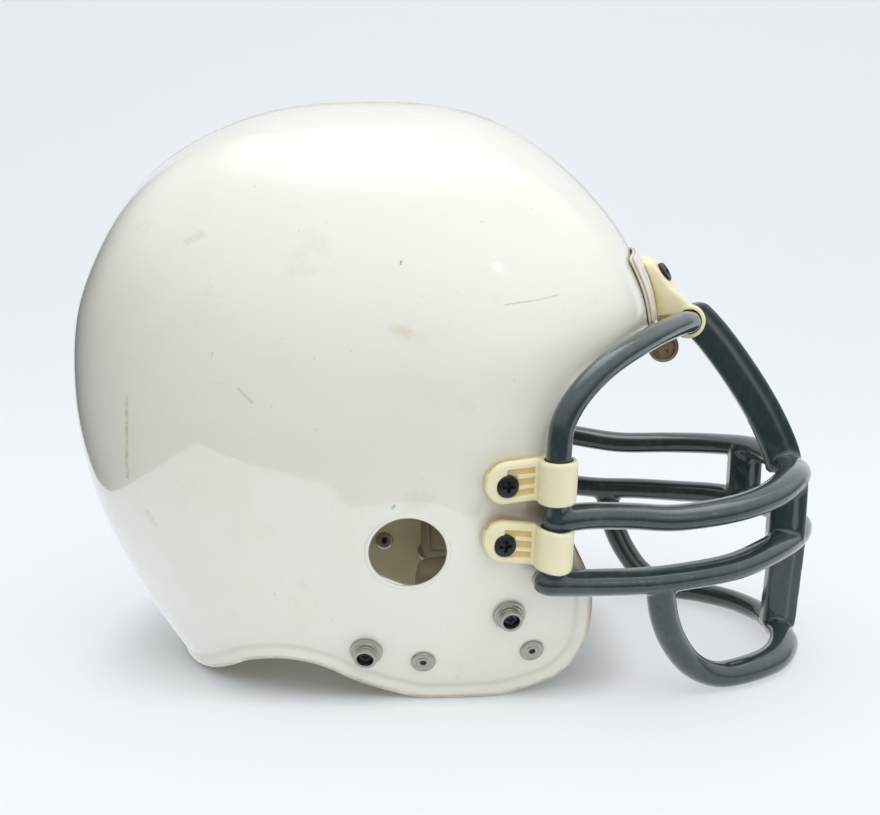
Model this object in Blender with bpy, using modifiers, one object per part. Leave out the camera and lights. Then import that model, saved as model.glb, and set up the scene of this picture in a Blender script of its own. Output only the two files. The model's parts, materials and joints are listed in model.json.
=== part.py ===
"""A football helmet: a hollow moulded shell, a face guard that swings on its brow straps,
the loop straps and fasteners that hold it, and the liner pads inside.
X runs forward, Y to the wearer's left and Z up. The helmet stands on Z = 0."""

import math

import bmesh
import bpy
from mathutils import Matrix, Vector

# Shell, metres
SHELL_LENGTH = 0.272
SHELL_HEIGHT = 0.262
SHELL_WIDTH = 0.222
SHELL_WALL = 0.0035
SHELL_CELLS = 12

# Centre of the shell's outline, and the outline's radius at equal steps of angle
# from straight ahead, over the crown, to the nape and under the jaw
CENTRE_X_SHARE = -0.14
CENTRE_Z_SHARE = 0.495
RADIUS_SHARES = (
    0.510, 0.522, 0.522, 0.524, 0.509, 0.521, 0.532, 0.520,
    0.505, 0.513, 0.550, 0.640, 0.760, 0.810, 0.760, 0.600,
)
CENTRE_X = CENTRE_X_SHARE * SHELL_LENGTH
CENTRE_Z = CENTRE_Z_SHARE * SHELL_HEIGHT
WIDTH_POWER = 2.2
JAW_TAPER_SHARE = 0.18
JAW_TAPER_POWER = 1.25

# Angle by which a surface is probed for its normal
PROBE_SHARE = 0.001
SIDES = {-1: "right", 1: "left"}
SIDE_VIEW = Matrix.Rotation(math.radians(90), 4, "X")

# Lower edge and face opening: shares of length and height, nape first
EDGE_SHARES = (
    (-0.440, 0.000), (-0.400, 0.012), (-0.360, 0.034), (-0.320, 0.058), (-0.260, 0.071),
    (-0.200, 0.063), (-0.140, 0.033), (-0.080, 0.011), (-0.030, 0.000), (0.070, 0.000),
    (0.125, 0.012), (0.182, 0.036), (0.222, 0.090), (0.232, 0.165), (0.222, 0.225),
    (0.198, 0.282), (0.176, 0.335), (0.167, 0.400), (0.171, 0.460), (0.200, 0.515),
    (0.255, 0.565), (0.325, 0.596), (0.420, 0.605),
)
EDGE_STEPS = 2
OUTSIDE_SHARE = 0.60

# Clearances
GAP = 0.0003
SEAT = 0.0005
INNER_SEAT = 0.0016
OVERRUN = 0.002
HOLE_LENGTH = 4 * SHELL_WALL

# Ear hole
EAR_RADIUS = 0.016
EAR_X_SHARE = -0.060
EAR_Z_SHARE = 0.286

# Face guard bars
POST_RADIUS = 0.00525
LENS_HALF_HEIGHT = 0.0055
LENS_HALF_DEPTH = 0.0077
JAW_LOOP_RADIUS = 0.0062
STRUT_THICKNESS = 0.0100
STRUT_DEPTH = 0.0170
STRUT_BEVEL = 0.0022
STRUT_SPREAD = 0.040
GUARD_REACH = 0.1255
BAR_STEPS = 2
POST_FOOT_RISE = 0.0010
POST_TOP_RISE = 0.0010
UPPER_BAR_DROP = 0.0005
LOWER_BAR_DROP = 0.0011
LOWER_BAR_BACKSET = 0.0065
FLAT_DEPTH = 0.0005

# Bar routes from the post to the middle: shares of reach, of half spread and of shell height
UPPER_BAR_SHARES = (
    (0.110, 0.930, -0.001), (0.260, 0.855, -0.009), (0.420, 0.805, -0.018), (0.620, 0.725, -0.011),
    (0.780, 0.580, -0.004), (0.895, 0.380, 0.001), (0.955, 0.180, 0.002), (0.968, 0.000, 0.002),
)
LOWER_BAR_SHARES = (
    (0.110, 0.940, -0.007), (0.320, 0.865, -0.013), (0.500, 0.800, -0.010), (0.660, 0.700, -0.006),
    (0.815, 0.530, 0.003), (0.925, 0.335, 0.005), (0.985, 0.150, 0.006), (1.000, 0.000, 0.006),
)
# Jaw loop heights are shares of the lower bar's height
JAW_LOOP_SHARES = (
    (0.372, 0.850, 0.860), (0.400, 0.805, 0.640), (0.448, 0.755, 0.410), (0.520, 0.700, 0.220),
    (0.620, 0.640, 0.110), (0.755, 0.550, 0.1), (0.872, 0.410, 0.1), (0.950, 0.200, 0.1),
    (0.968, 0.000, 0.1),
)
# Brow bar from the end of its crossbar to the top of the post: shares of that run
BROW_BAR_SHARES = (
    (0.000, 0.000, 0.000), (0.110, 0.160, 0.000), (0.380, 0.510, 0.070), (0.670, 0.800, 0.230),
    (0.870, 0.945, 0.460), (0.980, 1.000, 0.720), (1.000, 1.000, 1.000),
)
# Nose strut from the crossbar to the upper bar: shares of that run
NOSE_SHARES = (
    (0.060, 0.060), (0.300, -0.130), (0.560, -0.390), (0.780, -0.650), (0.930, -0.880), (0.985, -1.020),
)
CROSSBAR_HALF = 0.0240
GUARD_LENS = {"guard_upper_bar", "guard_lower_bar"}
LENS_SIDES = 8
LENS_POWER = 0.8
LENS_ANGLES = [math.tau * k / LENS_SIDES for k in range(LENS_SIDES)]

# Side loop straps
STRAP_WIDTH = 0.0182
STRAP_THICKNESS = 0.0048
STRAP_PITCH = 0.0292
STRAP_TOUCH_X_SHARE = 0.116
STRAP_Z_SHARE = 0.34084
STRAP_REACH = 0.0125
STRAP_SCREW_BACK = 0.0095
LOOP_WALL = 0.0024
LOOP_CLEARANCE = 0.0004
STRAP_BEVEL = 0.0008
LOOP_STEPS = 16
TIP_STEPS = 6
GROOVE_COUNT = 4
GROOVE_WIDTH = 0.0020
GROOVE_PITCH = 0.0034
GROOVE_LENGTH = 0.0062
GROOVE_DEPTH = 0.0016
GROOVE_START = 0.0064

# Heights of the guard's bars and of its post, from the straps that hold them
STRAP_Z = STRAP_Z_SHARE * SHELL_HEIGHT
STRAPS_HALF = (STRAP_PITCH + STRAP_WIDTH) / 2
UPPER_BAR_Z = STRAP_Z - UPPER_BAR_DROP
LOWER_BAR_Z = STRAP_Z - STRAPS_HALF - LENS_HALF_HEIGHT - LOWER_BAR_DROP
POST_FOOT = LOWER_BAR_Z + POST_FOOT_RISE
POST_TOP = STRAP_Z + STRAPS_HALF + POST_TOP_RISE

# Brow loop straps and the plate behind them
BROW_STRAP_WIDTH = 0.0170
BROW_STRAP_SPREAD = 0.0142
BROW_STRAP_Z_SHARE = 0.700
BROW_STRAP_REACH = 0.0272
BROW_PLATE_THICKNESS = 0.0018
BROW_PLATE_LOW_SHARE = 0.625
BROW_PLATE_HIGH_SHARE = 0.745
BROW_PLATE_HALF_ANGLE = math.radians(19)
BROW_PLATE_CELLS = (4, 10)
BROW_ROLL_RADIUS = 0.0074
BROW_ROLL_HALF = 0.0250
BROW_ROLL_STEPS = 8
BROW_ROLL_FORWARD = 0.0080
BROW_ROLL_DROP = GAP
BROW_TNUT_DROP = 0.0016
BAR_END_SHARE = 0.52

# Fasteners
SCREW_HEAD_RADIUS = 0.0048
SCREW_HEAD_HEIGHT = 0.0024
SCREW_SHANK_RADIUS = 0.0024
CROSS_LENGTH = 0.0058
CROSS_WIDTH = 0.0012
CROSS_DEPTH = 0.0014
TNUT_FLANGE_RADIUS = 0.0070
TNUT_FLANGE_HEIGHT = 0.0012
TNUT_BARREL_RADIUS = 0.0034
TNUT_BARREL_LENGTH = 0.0030
HOLE_CLEARANCE = 0.0004
STUD_FLANGE_RADIUS = 0.0066
STUD_FLANGE_HEIGHT = 0.0010
STUD_NECK_RADIUS = 0.0046
STUD_LIP_RADIUS = 0.0057
STUD_LIP_HEIGHT = 0.0014
STUD_HEIGHT = 0.0054
STUD_CUP_RADIUS = 0.0038
STUD_CUP_DEPTH = 0.0036
STUD_SCREW_HEAD_RADIUS = 0.0031
STUD_SCREW_HEAD_HEIGHT = 0.0016
STUD_SHANK_RADIUS = 0.0015
STUD_NUT_RADIUS = 0.0050
STUD_NUT_HEIGHT = 0.0022
RIVET_RADIUS = 0.0049
RIVET_HEIGHT = 0.0009
RIVET_HOLE_RADIUS = 0.0014
RIVET_SHANK_RADIUS = 0.0021
SOCKET_RADIUS = 0.0054
SOCKET_HEIGHT = 0.0034
PLUG_RADIUS = 0.0040
PLUG_HEIGHT = 0.0007
PLUG_SHANK_RADIUS = 0.0029
ROUND_STEPS = 12
EAR_STEPS = 32
TURNED_SHARP_ANGLE = math.radians(35)
TUBE_SHARP_ANGLE = math.radians(60)
CROWN_RADIUS_SHARE = 0.7
CROWN_DROP_SHARE = 0.4

# Places of the side fasteners: shares of shell length and height
STUD_SHARES = {"front": (0.097, 0.166), "rear": (-0.128, 0.099)}
RIVET_SHARES = {"front": (0.136, 0.092), "rear": (-0.038, 0.078)}
PLUG_X_SHARE = 0.146
PLUG_DROP = 0.0016
PLUG_Z = STRAP_Z - STRAPS_HALF - PLUG_RADIUS - PLUG_DROP

# Liner pads
PAD_THICKNESS = 0.022
JAW_PAD_THICKNESS = 0.019
PAD_EDGE_SHARE = 0.35
PAD_CORNER_SHARE = 0.10
PAD_FOOT_SHARE = 0.97
PAD_CELLS = 8
PAD_LIFT = SHELL_WALL + INNER_SEAT
NUT_LIFT = PAD_LIFT + TNUT_FLANGE_HEIGHT + BROW_TNUT_DROP + 2 * GAP
JAW_PAD_LIFT = SHELL_WALL + INNER_SEAT + SOCKET_HEIGHT + GAP
CROWN_PAD_ANGLES = (math.radians(62), math.radians(120), math.radians(33))
FRONT_PAD_ANGLES = (math.radians(14), math.radians(52), math.radians(34))
REAR_PAD_ANGLES = (math.radians(136), math.radians(196), math.radians(36))
SIDE_PAD_SHARES = (-0.370, 0.055, 0.400, 0.700)
JAW_PAD_SHARES = (-0.050, 0.165, 0.055, 0.235)


def remove_everything():
    for item in list(bpy.data.objects):
        bpy.data.objects.remove(item, do_unlink=True)


def collection(name):
    group = bpy.data.collections.new(name)
    bpy.context.scene.collection.children.link(group)
    return group


def material(name, colour, roughness, metallic=0.0):
    made = bpy.data.materials.new(name)
    made.use_nodes = True
    made.diffuse_color = (*colour, 1.0)
    shader = made.node_tree.nodes["Principled BSDF"]
    shader.inputs["Base Color"].default_value = (*colour, 1.0)
    shader.inputs["Roughness"].default_value = roughness
    shader.inputs["Metallic"].default_value = metallic
    return made


def add(name, mesh, group, finish=None, matrix=None):
    item = bpy.data.objects.new(name, mesh)
    group.objects.link(item)
    if matrix is not None:
        item.matrix_world = matrix
    if finish and not mesh.materials:
        mesh.materials.append(finish)
    return item


def hide(item):
    """Marks a cutter, which shapes its neighbours and isn't part of the helmet."""
    item.hide_render = True
    item.display_type = "WIRE"
    return item


def mesh_of(make):
    """A mesh from a function that fills a bmesh."""
    shape = bmesh.new()
    make(shape)
    mesh = bpy.data.meshes.new("shape")
    shape.to_mesh(mesh)
    shape.free()
    return mesh


def face_outwards(shape):
    """Turns a closed shape's faces so that they all point away from its inside."""
    bmesh.ops.recalc_face_normals(shape, faces=shape.faces)
    if shape.calc_volume(signed=True) < 0:
        bmesh.ops.reverse_faces(shape, faces=shape.faces)


def evaluated_mesh(item):
    """The item's mesh with its modifiers, or its curve, worked out; the item is removed."""
    bpy.context.view_layer.update()
    graph = bpy.context.evaluated_depsgraph_get()
    mesh = bpy.data.meshes.new_from_object(item.evaluated_get(graph))
    bpy.data.objects.remove(item, do_unlink=True)
    shape = bmesh.new()
    shape.from_mesh(mesh)
    bmesh.ops.remove_doubles(shape, verts=shape.verts, dist=GAP / 10)
    shape.to_mesh(mesh)
    shape.free()
    return mesh


def boolean(item, other, operation="DIFFERENCE"):
    cut = item.modifiers.new(other.name, "BOOLEAN")
    cut.object = other
    cut.operation = operation
    cut.solver = "EXACT"


def bevel(item, width, segments=1):
    edge = item.modifiers.new("edges", "BEVEL")
    edge.width = width
    edge.segments = segments
    edge.limit_method = "ANGLE"
    edge.use_clamp_overlap = True


def blended(values, place):
    """Catmull-Rom value of a closed table at a place given in table steps."""
    step = math.floor(place)
    part = place - step
    before, here, after, later = (values[(step + k) % len(values)] for k in (-1, 0, 1, 2))
    slope = after - before
    bend = 2 * before - 5 * here + 4 * after - later
    twist = 3 * (here - after) + later - before
    return here + 0.5 * part * (slope + part * (bend + part * twist))


def smooth_route(points, steps):
    """Catmull-Rom route through the points, with the end points kept."""
    ends = [2 * points[0] - points[1]] + list(points) + [2 * points[-1] - points[-2]]
    route = []
    for k in range(len(points) - 1):
        before, here, after, later = ends[k : k + 4]
        for j in range(steps):
            part = j / steps
            slope = after - before
            bend = 2 * before - 5 * here + 4 * after - later
            twist = 3 * (here - after) + later - before
            route.append(here + 0.5 * part * (slope + part * (bend + part * twist)))
    return route + [points[-1]]


# The shell's surface

def radius_share(angle):
    return blended(RADIUS_SHARES, (angle % math.tau) / math.tau * len(RADIUS_SHARES))


def width_at(z):
    """The shell's half width, which tapers below its centre towards the jaw."""
    drop = max(0.0, (CENTRE_Z - z) / CENTRE_Z)
    return SHELL_WIDTH / 2 * (1 - JAW_TAPER_SHARE * drop**JAW_TAPER_POWER)


def half_width(x, z):
    """Y of the outer surface over a place in the side view."""
    across = (x - CENTRE_X) / SHELL_LENGTH
    up = (z - CENTRE_Z) / SHELL_HEIGHT
    fill = math.hypot(across, up) / radius_share(math.atan2(up, across))
    return width_at(z) * max(0.0, 1 - fill**WIDTH_POWER) ** (1 / WIDTH_POWER)


def shell_point(angle, tilt):
    """Outer surface at an angle round the side view and a tilt from the midplane."""
    fill = math.cos(tilt) ** (2 / WIDTH_POWER)
    spread = math.copysign(abs(math.sin(tilt)) ** (2 / WIDTH_POWER), tilt)
    radius = radius_share(angle) * fill
    x = CENTRE_X + SHELL_LENGTH * radius * math.cos(angle)
    z = CENTRE_Z + SHELL_HEIGHT * radius * math.sin(angle)
    return Vector((x, spread * width_at(z), z))


def outward(surface, a, b):
    """Unit normal of a surface function, away from the shell's centre."""
    here = surface(a, b)
    along = surface(a + PROBE_SHARE, b) - here
    aside = surface(a, b + PROBE_SHARE) - here
    normal = along.cross(aside).normalized()
    away = here - Vector((CENTRE_X, 0, CENTRE_Z))
    return normal if normal.dot(away) > 0 else -normal


def side_surface(side):
    """The shell's side as a function of shares of its length and height."""

    def surface(x_share, z_share):
        x = x_share * SHELL_LENGTH
        z = z_share * SHELL_HEIGHT
        return Vector((x, side * half_width(x, z), z))

    return surface


def frame_at(point, normal, forward):
    """A frame with Z along the normal and X as near to forward as the surface allows."""
    z_axis = normal.normalized()
    x_axis = (forward - forward.dot(z_axis) * z_axis).normalized()
    y_axis = z_axis.cross(x_axis)
    turn = Matrix((x_axis, y_axis, z_axis)).transposed().to_4x4()
    return Matrix.Translation(point) @ turn


def side_seat(x_share, z_share, side):
    surface = side_surface(side)
    return frame_at(surface(x_share, z_share), outward(surface, x_share, z_share), Vector((1, 0, 0)))


def lifted(seat, height):
    return seat @ Matrix.Translation((0, 0, height))


def shell_body(group, name, inset, finish=None):
    """A subdivided cube pushed out to the shell's surface, drawn in along its normals."""

    def make(shape):
        bmesh.ops.create_cube(shape, size=2)
        bmesh.ops.subdivide_edges(
            shape, edges=shape.edges, cuts=SHELL_CELLS - 1, use_grid_fill=True
        )
        for vertex in shape.verts:
            direction = vertex.co.normalized()
            angle = math.atan2(direction.z, direction.x)
            vertex.co = shell_point(angle, math.asin(max(-1.0, min(1.0, direction.y))))
        shape.normal_update()
        inward = [(vertex, vertex.co - inset * vertex.normal) for vertex in shape.verts]
        for vertex, place in inward:
            vertex.co = place
        face_outwards(shape)

    mesh = mesh_of(make)
    mesh.shade_smooth()
    return add(name, mesh, group, finish)


def outline_solid(group, name, points, half_thickness, matrix=None, finish=None):
    """A flat outline in its own XY plane, given a thickness both ways along Z."""
    curve = bpy.data.curves.new(name, "CURVE")
    curve.dimensions = "2D"
    curve.fill_mode = "BOTH"
    curve.extrude = half_thickness
    spline = curve.splines.new("POLY")
    spline.points.add(len(points) - 1)
    for place, (x, y) in zip(spline.points, points):
        place.co = (x, y, 0, 1)
    spline.use_cyclic_u = True
    return add(name, evaluated_mesh(add(name + "_outline", curve, group)), group, finish, matrix)


def edge_line():
    points = [Vector((x * SHELL_LENGTH, z * SHELL_HEIGHT)) for x, z in EDGE_SHARES]
    return [Vector((p.x, max(0.0, p.y))) for p in smooth_route(points, EDGE_STEPS)]


def edge_cutter(cutters):
    """Everything below the shell's lower edge and in front of its face opening."""
    far = OUTSIDE_SHARE * SHELL_LENGTH
    low = -OUTSIDE_SHARE * SHELL_HEIGHT
    line = edge_line()
    corners = [Vector((far, line[-1].y)), Vector((far, low)), Vector((-far, low)), Vector((-far, 0))]
    outline = [(p.x, p.y) for p in line + corners]
    return hide(outline_solid(cutters, "edge_cutter", outline, SHELL_WIDTH, SIDE_VIEW))


def cylinder(shape, radius, length, matrix, segments=ROUND_STEPS):
    """A closed cylinder along its matrix's Z, centred on it."""
    bmesh.ops.create_cone(
        shape, cap_ends=True, segments=segments, radius1=radius, radius2=radius,
        depth=length, matrix=matrix,
    )


def box(shape, sizes, matrix):
    bmesh.ops.create_cube(shape, size=1, matrix=matrix @ Matrix.Diagonal((*sizes, 1)))


def turned_mesh(name, profile, group, closed=False):
    """A profile of radius and height, run down its outer side, turned about Z."""
    mesh = bpy.data.meshes.new(name)
    count = len(profile)
    edges = [(k, (k + 1) % count) for k in range(count if closed else count - 1)]
    mesh.from_pydata([(radius, 0, height) for radius, height in profile], edges, [])
    item = add(name + "_profile", mesh, group)
    screw = item.modifiers.new("turn", "SCREW")
    screw.steps = screw.render_steps = ROUND_STEPS
    screw.use_merge_vertices = True
    screw.merge_threshold = GAP / 10
    turned = evaluated_mesh(item)
    turned.shade_smooth()
    turned.set_sharp_from_angle(angle=TURNED_SHARP_ANGLE)
    return turned


def tube_curve(group, name, points, radius=0.0, section=None):
    """A capped tube along the points; a section gives its half depth and half height."""
    curve = bpy.data.curves.new(name, "CURVE")
    curve.dimensions = "3D"
    curve.use_fill_caps = True
    curve.bevel_resolution = 2
    spline = curve.splines.new("POLY")
    spline.points.add(len(points) - 1)
    for place, point in zip(spline.points, points):
        place.co = (*point, 1)
    guide = None
    if section is None:
        curve.bevel_depth = radius
    else:
        spline.points[0].radius = BAR_END_SHARE
        spline.points[-1].radius = BAR_END_SHARE
        curve.twist_mode = "Z_UP"
        outline = bpy.data.curves.new(name + "_section", "CURVE")
        ring = outline.splines.new("POLY")
        ring.points.add(len(LENS_ANGLES) - 1)
        for place, angle in zip(ring.points, LENS_ANGLES):
            depth = section[0] * math.cos(angle)
            height = section[1] * math.copysign(abs(math.sin(angle)) ** LENS_POWER, math.sin(angle))
            place.co = (depth, height, 0, 1)
        ring.use_cyclic_u = True
        guide = add(name + "_section", outline, group)
        curve.bevel_mode = "OBJECT"
        curve.bevel_object = guide
    mesh = evaluated_mesh(add(name + "_curve", curve, group))
    if guide:
        bpy.data.objects.remove(guide, do_unlink=True)
    shape = bmesh.new()
    shape.from_mesh(mesh)
    face_outwards(shape)
    shape.to_mesh(mesh)
    shape.free()
    mesh.shade_smooth()
    mesh.set_sharp_from_angle(angle=TUBE_SHARP_ANGLE)
    return mesh


def both_sides(half):
    """A route from the near side's end to the far side's, from its near half."""
    return half + [Vector((p.x, -p.y, p.z)) for p in reversed(half[:-1])]


class Straps:
    """The frames of the loop straps, which the guard's bars pass through."""

    loop_radius = POST_RADIUS + LOOP_CLEARANCE + LOOP_WALL

    def __init__(self):
        self.side = {}
        for side in (-1, 1):
            surface = side_surface(side)
            place = (STRAP_TOUCH_X_SHARE, STRAP_Z / SHELL_HEIGHT)
            normal = outward(surface, *place)
            forward = Vector((0, 0, -side)).cross(normal)
            self.side[side] = lifted(frame_at(surface(*place), normal, forward), SEAT)
        tilt = math.asin(min(1.0, (BROW_STRAP_SPREAD / (SHELL_WIDTH / 2)) ** (WIDTH_POWER / 2)))
        rise = (BROW_STRAP_Z_SHARE - CENTRE_Z_SHARE) / RADIUS_SHARES[1]
        self.brow_angle = math.asin(rise)
        normal = outward(shell_point, self.brow_angle, 0.0)
        point = shell_point(self.brow_angle, tilt)
        middle = Vector((point.x, 0, point.z))
        down = Vector((0, 0, -1))
        self.brow = frame_at(middle, normal, down)
        self.brow_seat = lifted(self.brow, BROW_PLATE_THICKNESS + 2 * SEAT + GAP)

    def post(self, z):
        """The near post's centre at a height."""
        centre = self.side[-1] @ Vector((STRAP_REACH, 0, self.loop_radius))
        axis = self.side[-1].to_3x3() @ Vector((0, 1, 0))
        return centre + axis * (z - centre.z) / axis.z

    def crossbar(self):
        return self.brow_seat @ Vector((BROW_STRAP_REACH, 0, self.loop_radius))


def guard_point(post, shares):
    """A place of a bar from its shares, seen from the bar's end at the near post."""
    reach, spread, rise = shares
    return Vector((post.x + reach * GUARD_REACH, post.y * spread, post.z + rise * SHELL_HEIGHT))


def guard_routes(straps):
    """The routes of the guard's bars by name."""
    cross = straps.crossbar()
    start = Vector((cross.x, -CROSSBAR_HALF, cross.z))
    top = straps.post(POST_TOP)
    run = top - start
    brow = [start + Vector((run.x * a, run.y * b, run.z * c)) for a, b, c in BROW_BAR_SHARES]
    curved = list(reversed(smooth_route(brow, BAR_STEPS)))
    post = straps.post(UPPER_BAR_Z)
    upper = [post] + [guard_point(post, shares) for shares in UPPER_BAR_SHARES]
    post = straps.post(LOWER_BAR_Z)
    lower = [post - Vector((LOWER_BAR_BACKSET, 0, 0)), post]
    lower += [guard_point(post, shares) for shares in LOWER_BAR_SHARES]
    jaw = []
    for reach, spread, height in JAW_LOOP_SHARES:
        low = JAW_LOOP_RADIUS - FLAT_DEPTH
        z = max(low, height * LOWER_BAR_Z)
        jaw.append(Vector((post.x + reach * GUARD_REACH, post.y * spread, z)))
    return {
        "guard_brow_bar": both_sides([straps.post(POST_FOOT)] + curved + [cross]),
        "guard_upper_bar": both_sides(smooth_route(upper, BAR_STEPS)),
        "guard_lower_bar": both_sides(smooth_route(lower, BAR_STEPS)),
        "guard_jaw_loop": both_sides(smooth_route(jaw, BAR_STEPS)),
    }


def bar_mesh(group, name, route, grow=0.0):
    """A bar's mesh, or that of the clearance round it."""
    if name in GUARD_LENS:
        section = (LENS_HALF_DEPTH + grow, LENS_HALF_HEIGHT + grow)
        return tube_curve(group, name, route, section=section)
    radius = JAW_LOOP_RADIUS if name == "guard_jaw_loop" else POST_RADIUS
    return tube_curve(group, name, route, radius + grow)


def strut_outline(front, back):
    return [(p.x, p.y) for p in front + list(reversed(back))]


def guard(parts, cutters, straps, finish):
    """The face guard: four bars that run round the face and the struts between them."""
    routes = guard_routes(straps)
    bars = {}
    fat = {}
    for name, route in routes.items():
        bars[name] = add(name, bar_mesh(parts, name, route), parts, finish)
        fat[name] = hide(add(name + "_clearance", bar_mesh(cutters, name, route, GAP), cutters))
    for name in ("guard_upper_bar", "guard_lower_bar"):
        boolean(bars[name], fat["guard_brow_bar"])
    boolean(bars["guard_jaw_loop"], fat["guard_lower_bar"])
    below = mesh_of(
        lambda shape: box(
            shape,
            (2 * SHELL_LENGTH, 2 * SHELL_WIDTH, SHELL_HEIGHT),
            Matrix.Translation((0, 0, -SHELL_HEIGHT / 2)),
        )
    )
    boolean(bars["guard_jaw_loop"], hide(add("floor_cutter", below, cutters)))

    cross = straps.crossbar()
    upper_mid = routes["guard_upper_bar"][len(routes["guard_upper_bar"]) // 2]
    lower_mid = routes["guard_lower_bar"][len(routes["guard_lower_bar"]) // 2]
    jaw_mid = routes["guard_jaw_loop"][len(routes["guard_jaw_loop"]) // 2]
    nose = [
        Vector((cross.x, cross.z)) + Vector((a * (upper_mid.x - cross.x), b * (cross.z - upper_mid.z)))
        for a, b in NOSE_SHARES
    ]
    half = STRUT_DEPTH / 2
    route = smooth_route(nose, BAR_STEPS)
    front, back = [], []
    for k, place in enumerate(route):
        ahead = route[min(k + 1, len(route) - 1)] - route[max(k - 1, 0)]
        across = Vector((-ahead.y, ahead.x)).normalized() * half
        front.append(place + across)
        back.append(place - across)
    shapes = {"guard_nose_strut": (strut_outline(front, back), 0.0, ("guard_brow_bar", "guard_upper_bar"))}
    chin_front = [Vector((lower_mid.x + half, lower_mid.z)), Vector((jaw_mid.x + half, jaw_mid.z))]
    chin_back = [Vector((lower_mid.x - half, lower_mid.z)), Vector((jaw_mid.x - half, jaw_mid.z))]
    shapes["guard_chin_strut"] = (
        strut_outline(chin_front, chin_back), 0.0, ("guard_lower_bar", "guard_jaw_loop"),
    )
    for side, word in SIDES.items():
        high = nearest_at(routes["guard_upper_bar"], side * STRUT_SPREAD)
        low = nearest_at(routes["guard_lower_bar"], side * STRUT_SPREAD)
        outline = strut_outline(
            [Vector((high.x + half, high.z)), Vector((low.x + half, low.z))],
            [Vector((high.x - half, high.z)), Vector((low.x - half, low.z))],
        )
        name = f"guard_{word}_strut"
        shapes[name] = (outline, side * STRUT_SPREAD, ("guard_upper_bar", "guard_lower_bar"))
    for name, (outline, y, ends) in shapes.items():
        place = Matrix.Translation((0, y, 0)) @ SIDE_VIEW
        strut = outline_solid(parts, name, outline, STRUT_THICKNESS / 2, place, finish)
        bevel(strut, STRUT_BEVEL, 2)
        for end in ends:
            boolean(strut, fat[end])
        bars[name] = strut
    return bars


def nearest_at(route, y):
    return min(route, key=lambda point: abs(point.y - y))


def loop_strap(parts, cutters, name, frame, width, reach, back, finish):
    """A strap with a round end that lies on the shell and loops round a bar."""
    half = width / 2
    outline = [(reach, half)]
    for k in range(TIP_STEPS + 1):
        angle = math.pi * (0.5 + k / TIP_STEPS)
        outline.append((-back + half * math.cos(angle), half * math.sin(angle)))
    outline.append((reach, -half))
    place = frame @ Matrix.Translation((0, 0, STRAP_THICKNESS / 2))
    strap = outline_solid(parts, name, outline, STRAP_THICKNESS / 2, place, finish)
    bevel(strap, STRAP_BEVEL)
    along = Matrix.Translation((reach, 0, Straps.loop_radius)) @ SIDE_VIEW
    barrel = mesh_of(lambda shape: cylinder(shape, Straps.loop_radius, width, along, LOOP_STEPS))
    barrel = hide(add(name + "_barrel", barrel, cutters, None, frame))
    bevel(barrel, STRAP_BEVEL)
    boolean(strap, barrel, "UNION")
    bore_radius = POST_RADIUS + LOOP_CLEARANCE
    length = width + OVERRUN
    bore = mesh_of(lambda shape: cylinder(shape, bore_radius, length, along, LOOP_STEPS))
    boolean(strap, hide(add(name + "_bore", bore, cutters, None, frame)))

    def cuts(shape):
        hole = Matrix.Translation((-back, 0, STRAP_THICKNESS / 2))
        cylinder(shape, SCREW_SHANK_RADIUS + HOLE_CLEARANCE, STRAP_THICKNESS + OVERRUN, hole)
        for k in range(GROOVE_COUNT):
            across = (k - (GROOVE_COUNT - 1) / 2) * GROOVE_PITCH
            start = -back + GROOVE_START + GROOVE_LENGTH / 2
            spot = Matrix.Translation((start, across, STRAP_THICKNESS))
            box(shape, (GROOVE_LENGTH, GROOVE_WIDTH, 2 * GROOVE_DEPTH), spot)

    boolean(strap, hide(add(name + "_holes", mesh_of(cuts), cutters, None, frame)))
    return strap


def screw_mesh(parts, cutters, length):
    """A pan-head screw with a cross recess, its seat at Z = 0."""
    rim = SCREW_HEAD_HEIGHT / 2
    crown = (CROWN_RADIUS_SHARE * SCREW_HEAD_RADIUS, SCREW_HEAD_HEIGHT - CROWN_DROP_SHARE * rim)
    profile = [
        (0, SCREW_HEAD_HEIGHT), crown,
        (SCREW_HEAD_RADIUS, rim), (SCREW_HEAD_RADIUS, 0), (SCREW_SHANK_RADIUS, 0),
        (SCREW_SHANK_RADIUS, -length), (0, -length),
    ]
    screw = add("screw", turned_mesh("screw", profile, parts), parts)

    def cross(shape):
        top = Matrix.Translation((0, 0, SCREW_HEAD_HEIGHT))
        box(shape, (CROSS_LENGTH, CROSS_WIDTH, 2 * CROSS_DEPTH), top)
        turned = top @ Matrix.Rotation(math.radians(90), 4, "Z")
        box(shape, (CROSS_LENGTH, CROSS_WIDTH, 2 * CROSS_DEPTH), turned)

    cutter = hide(add("cross_cutter", mesh_of(cross), cutters))
    boolean(screw, cutter)
    screw.modifiers[0].use_self = True
    mesh = evaluated_mesh(screw)
    bpy.data.objects.remove(cutter, do_unlink=True)
    return mesh


def tnut_profile():
    bore = SCREW_SHANK_RADIUS + GAP
    return [
        (bore, TNUT_BARREL_LENGTH), (TNUT_BARREL_RADIUS, TNUT_BARREL_LENGTH),
        (TNUT_BARREL_RADIUS, 0), (TNUT_FLANGE_RADIUS, 0),
        (TNUT_FLANGE_RADIUS, -TNUT_FLANGE_HEIGHT), (bore, -TNUT_FLANGE_HEIGHT),
    ]


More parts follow.
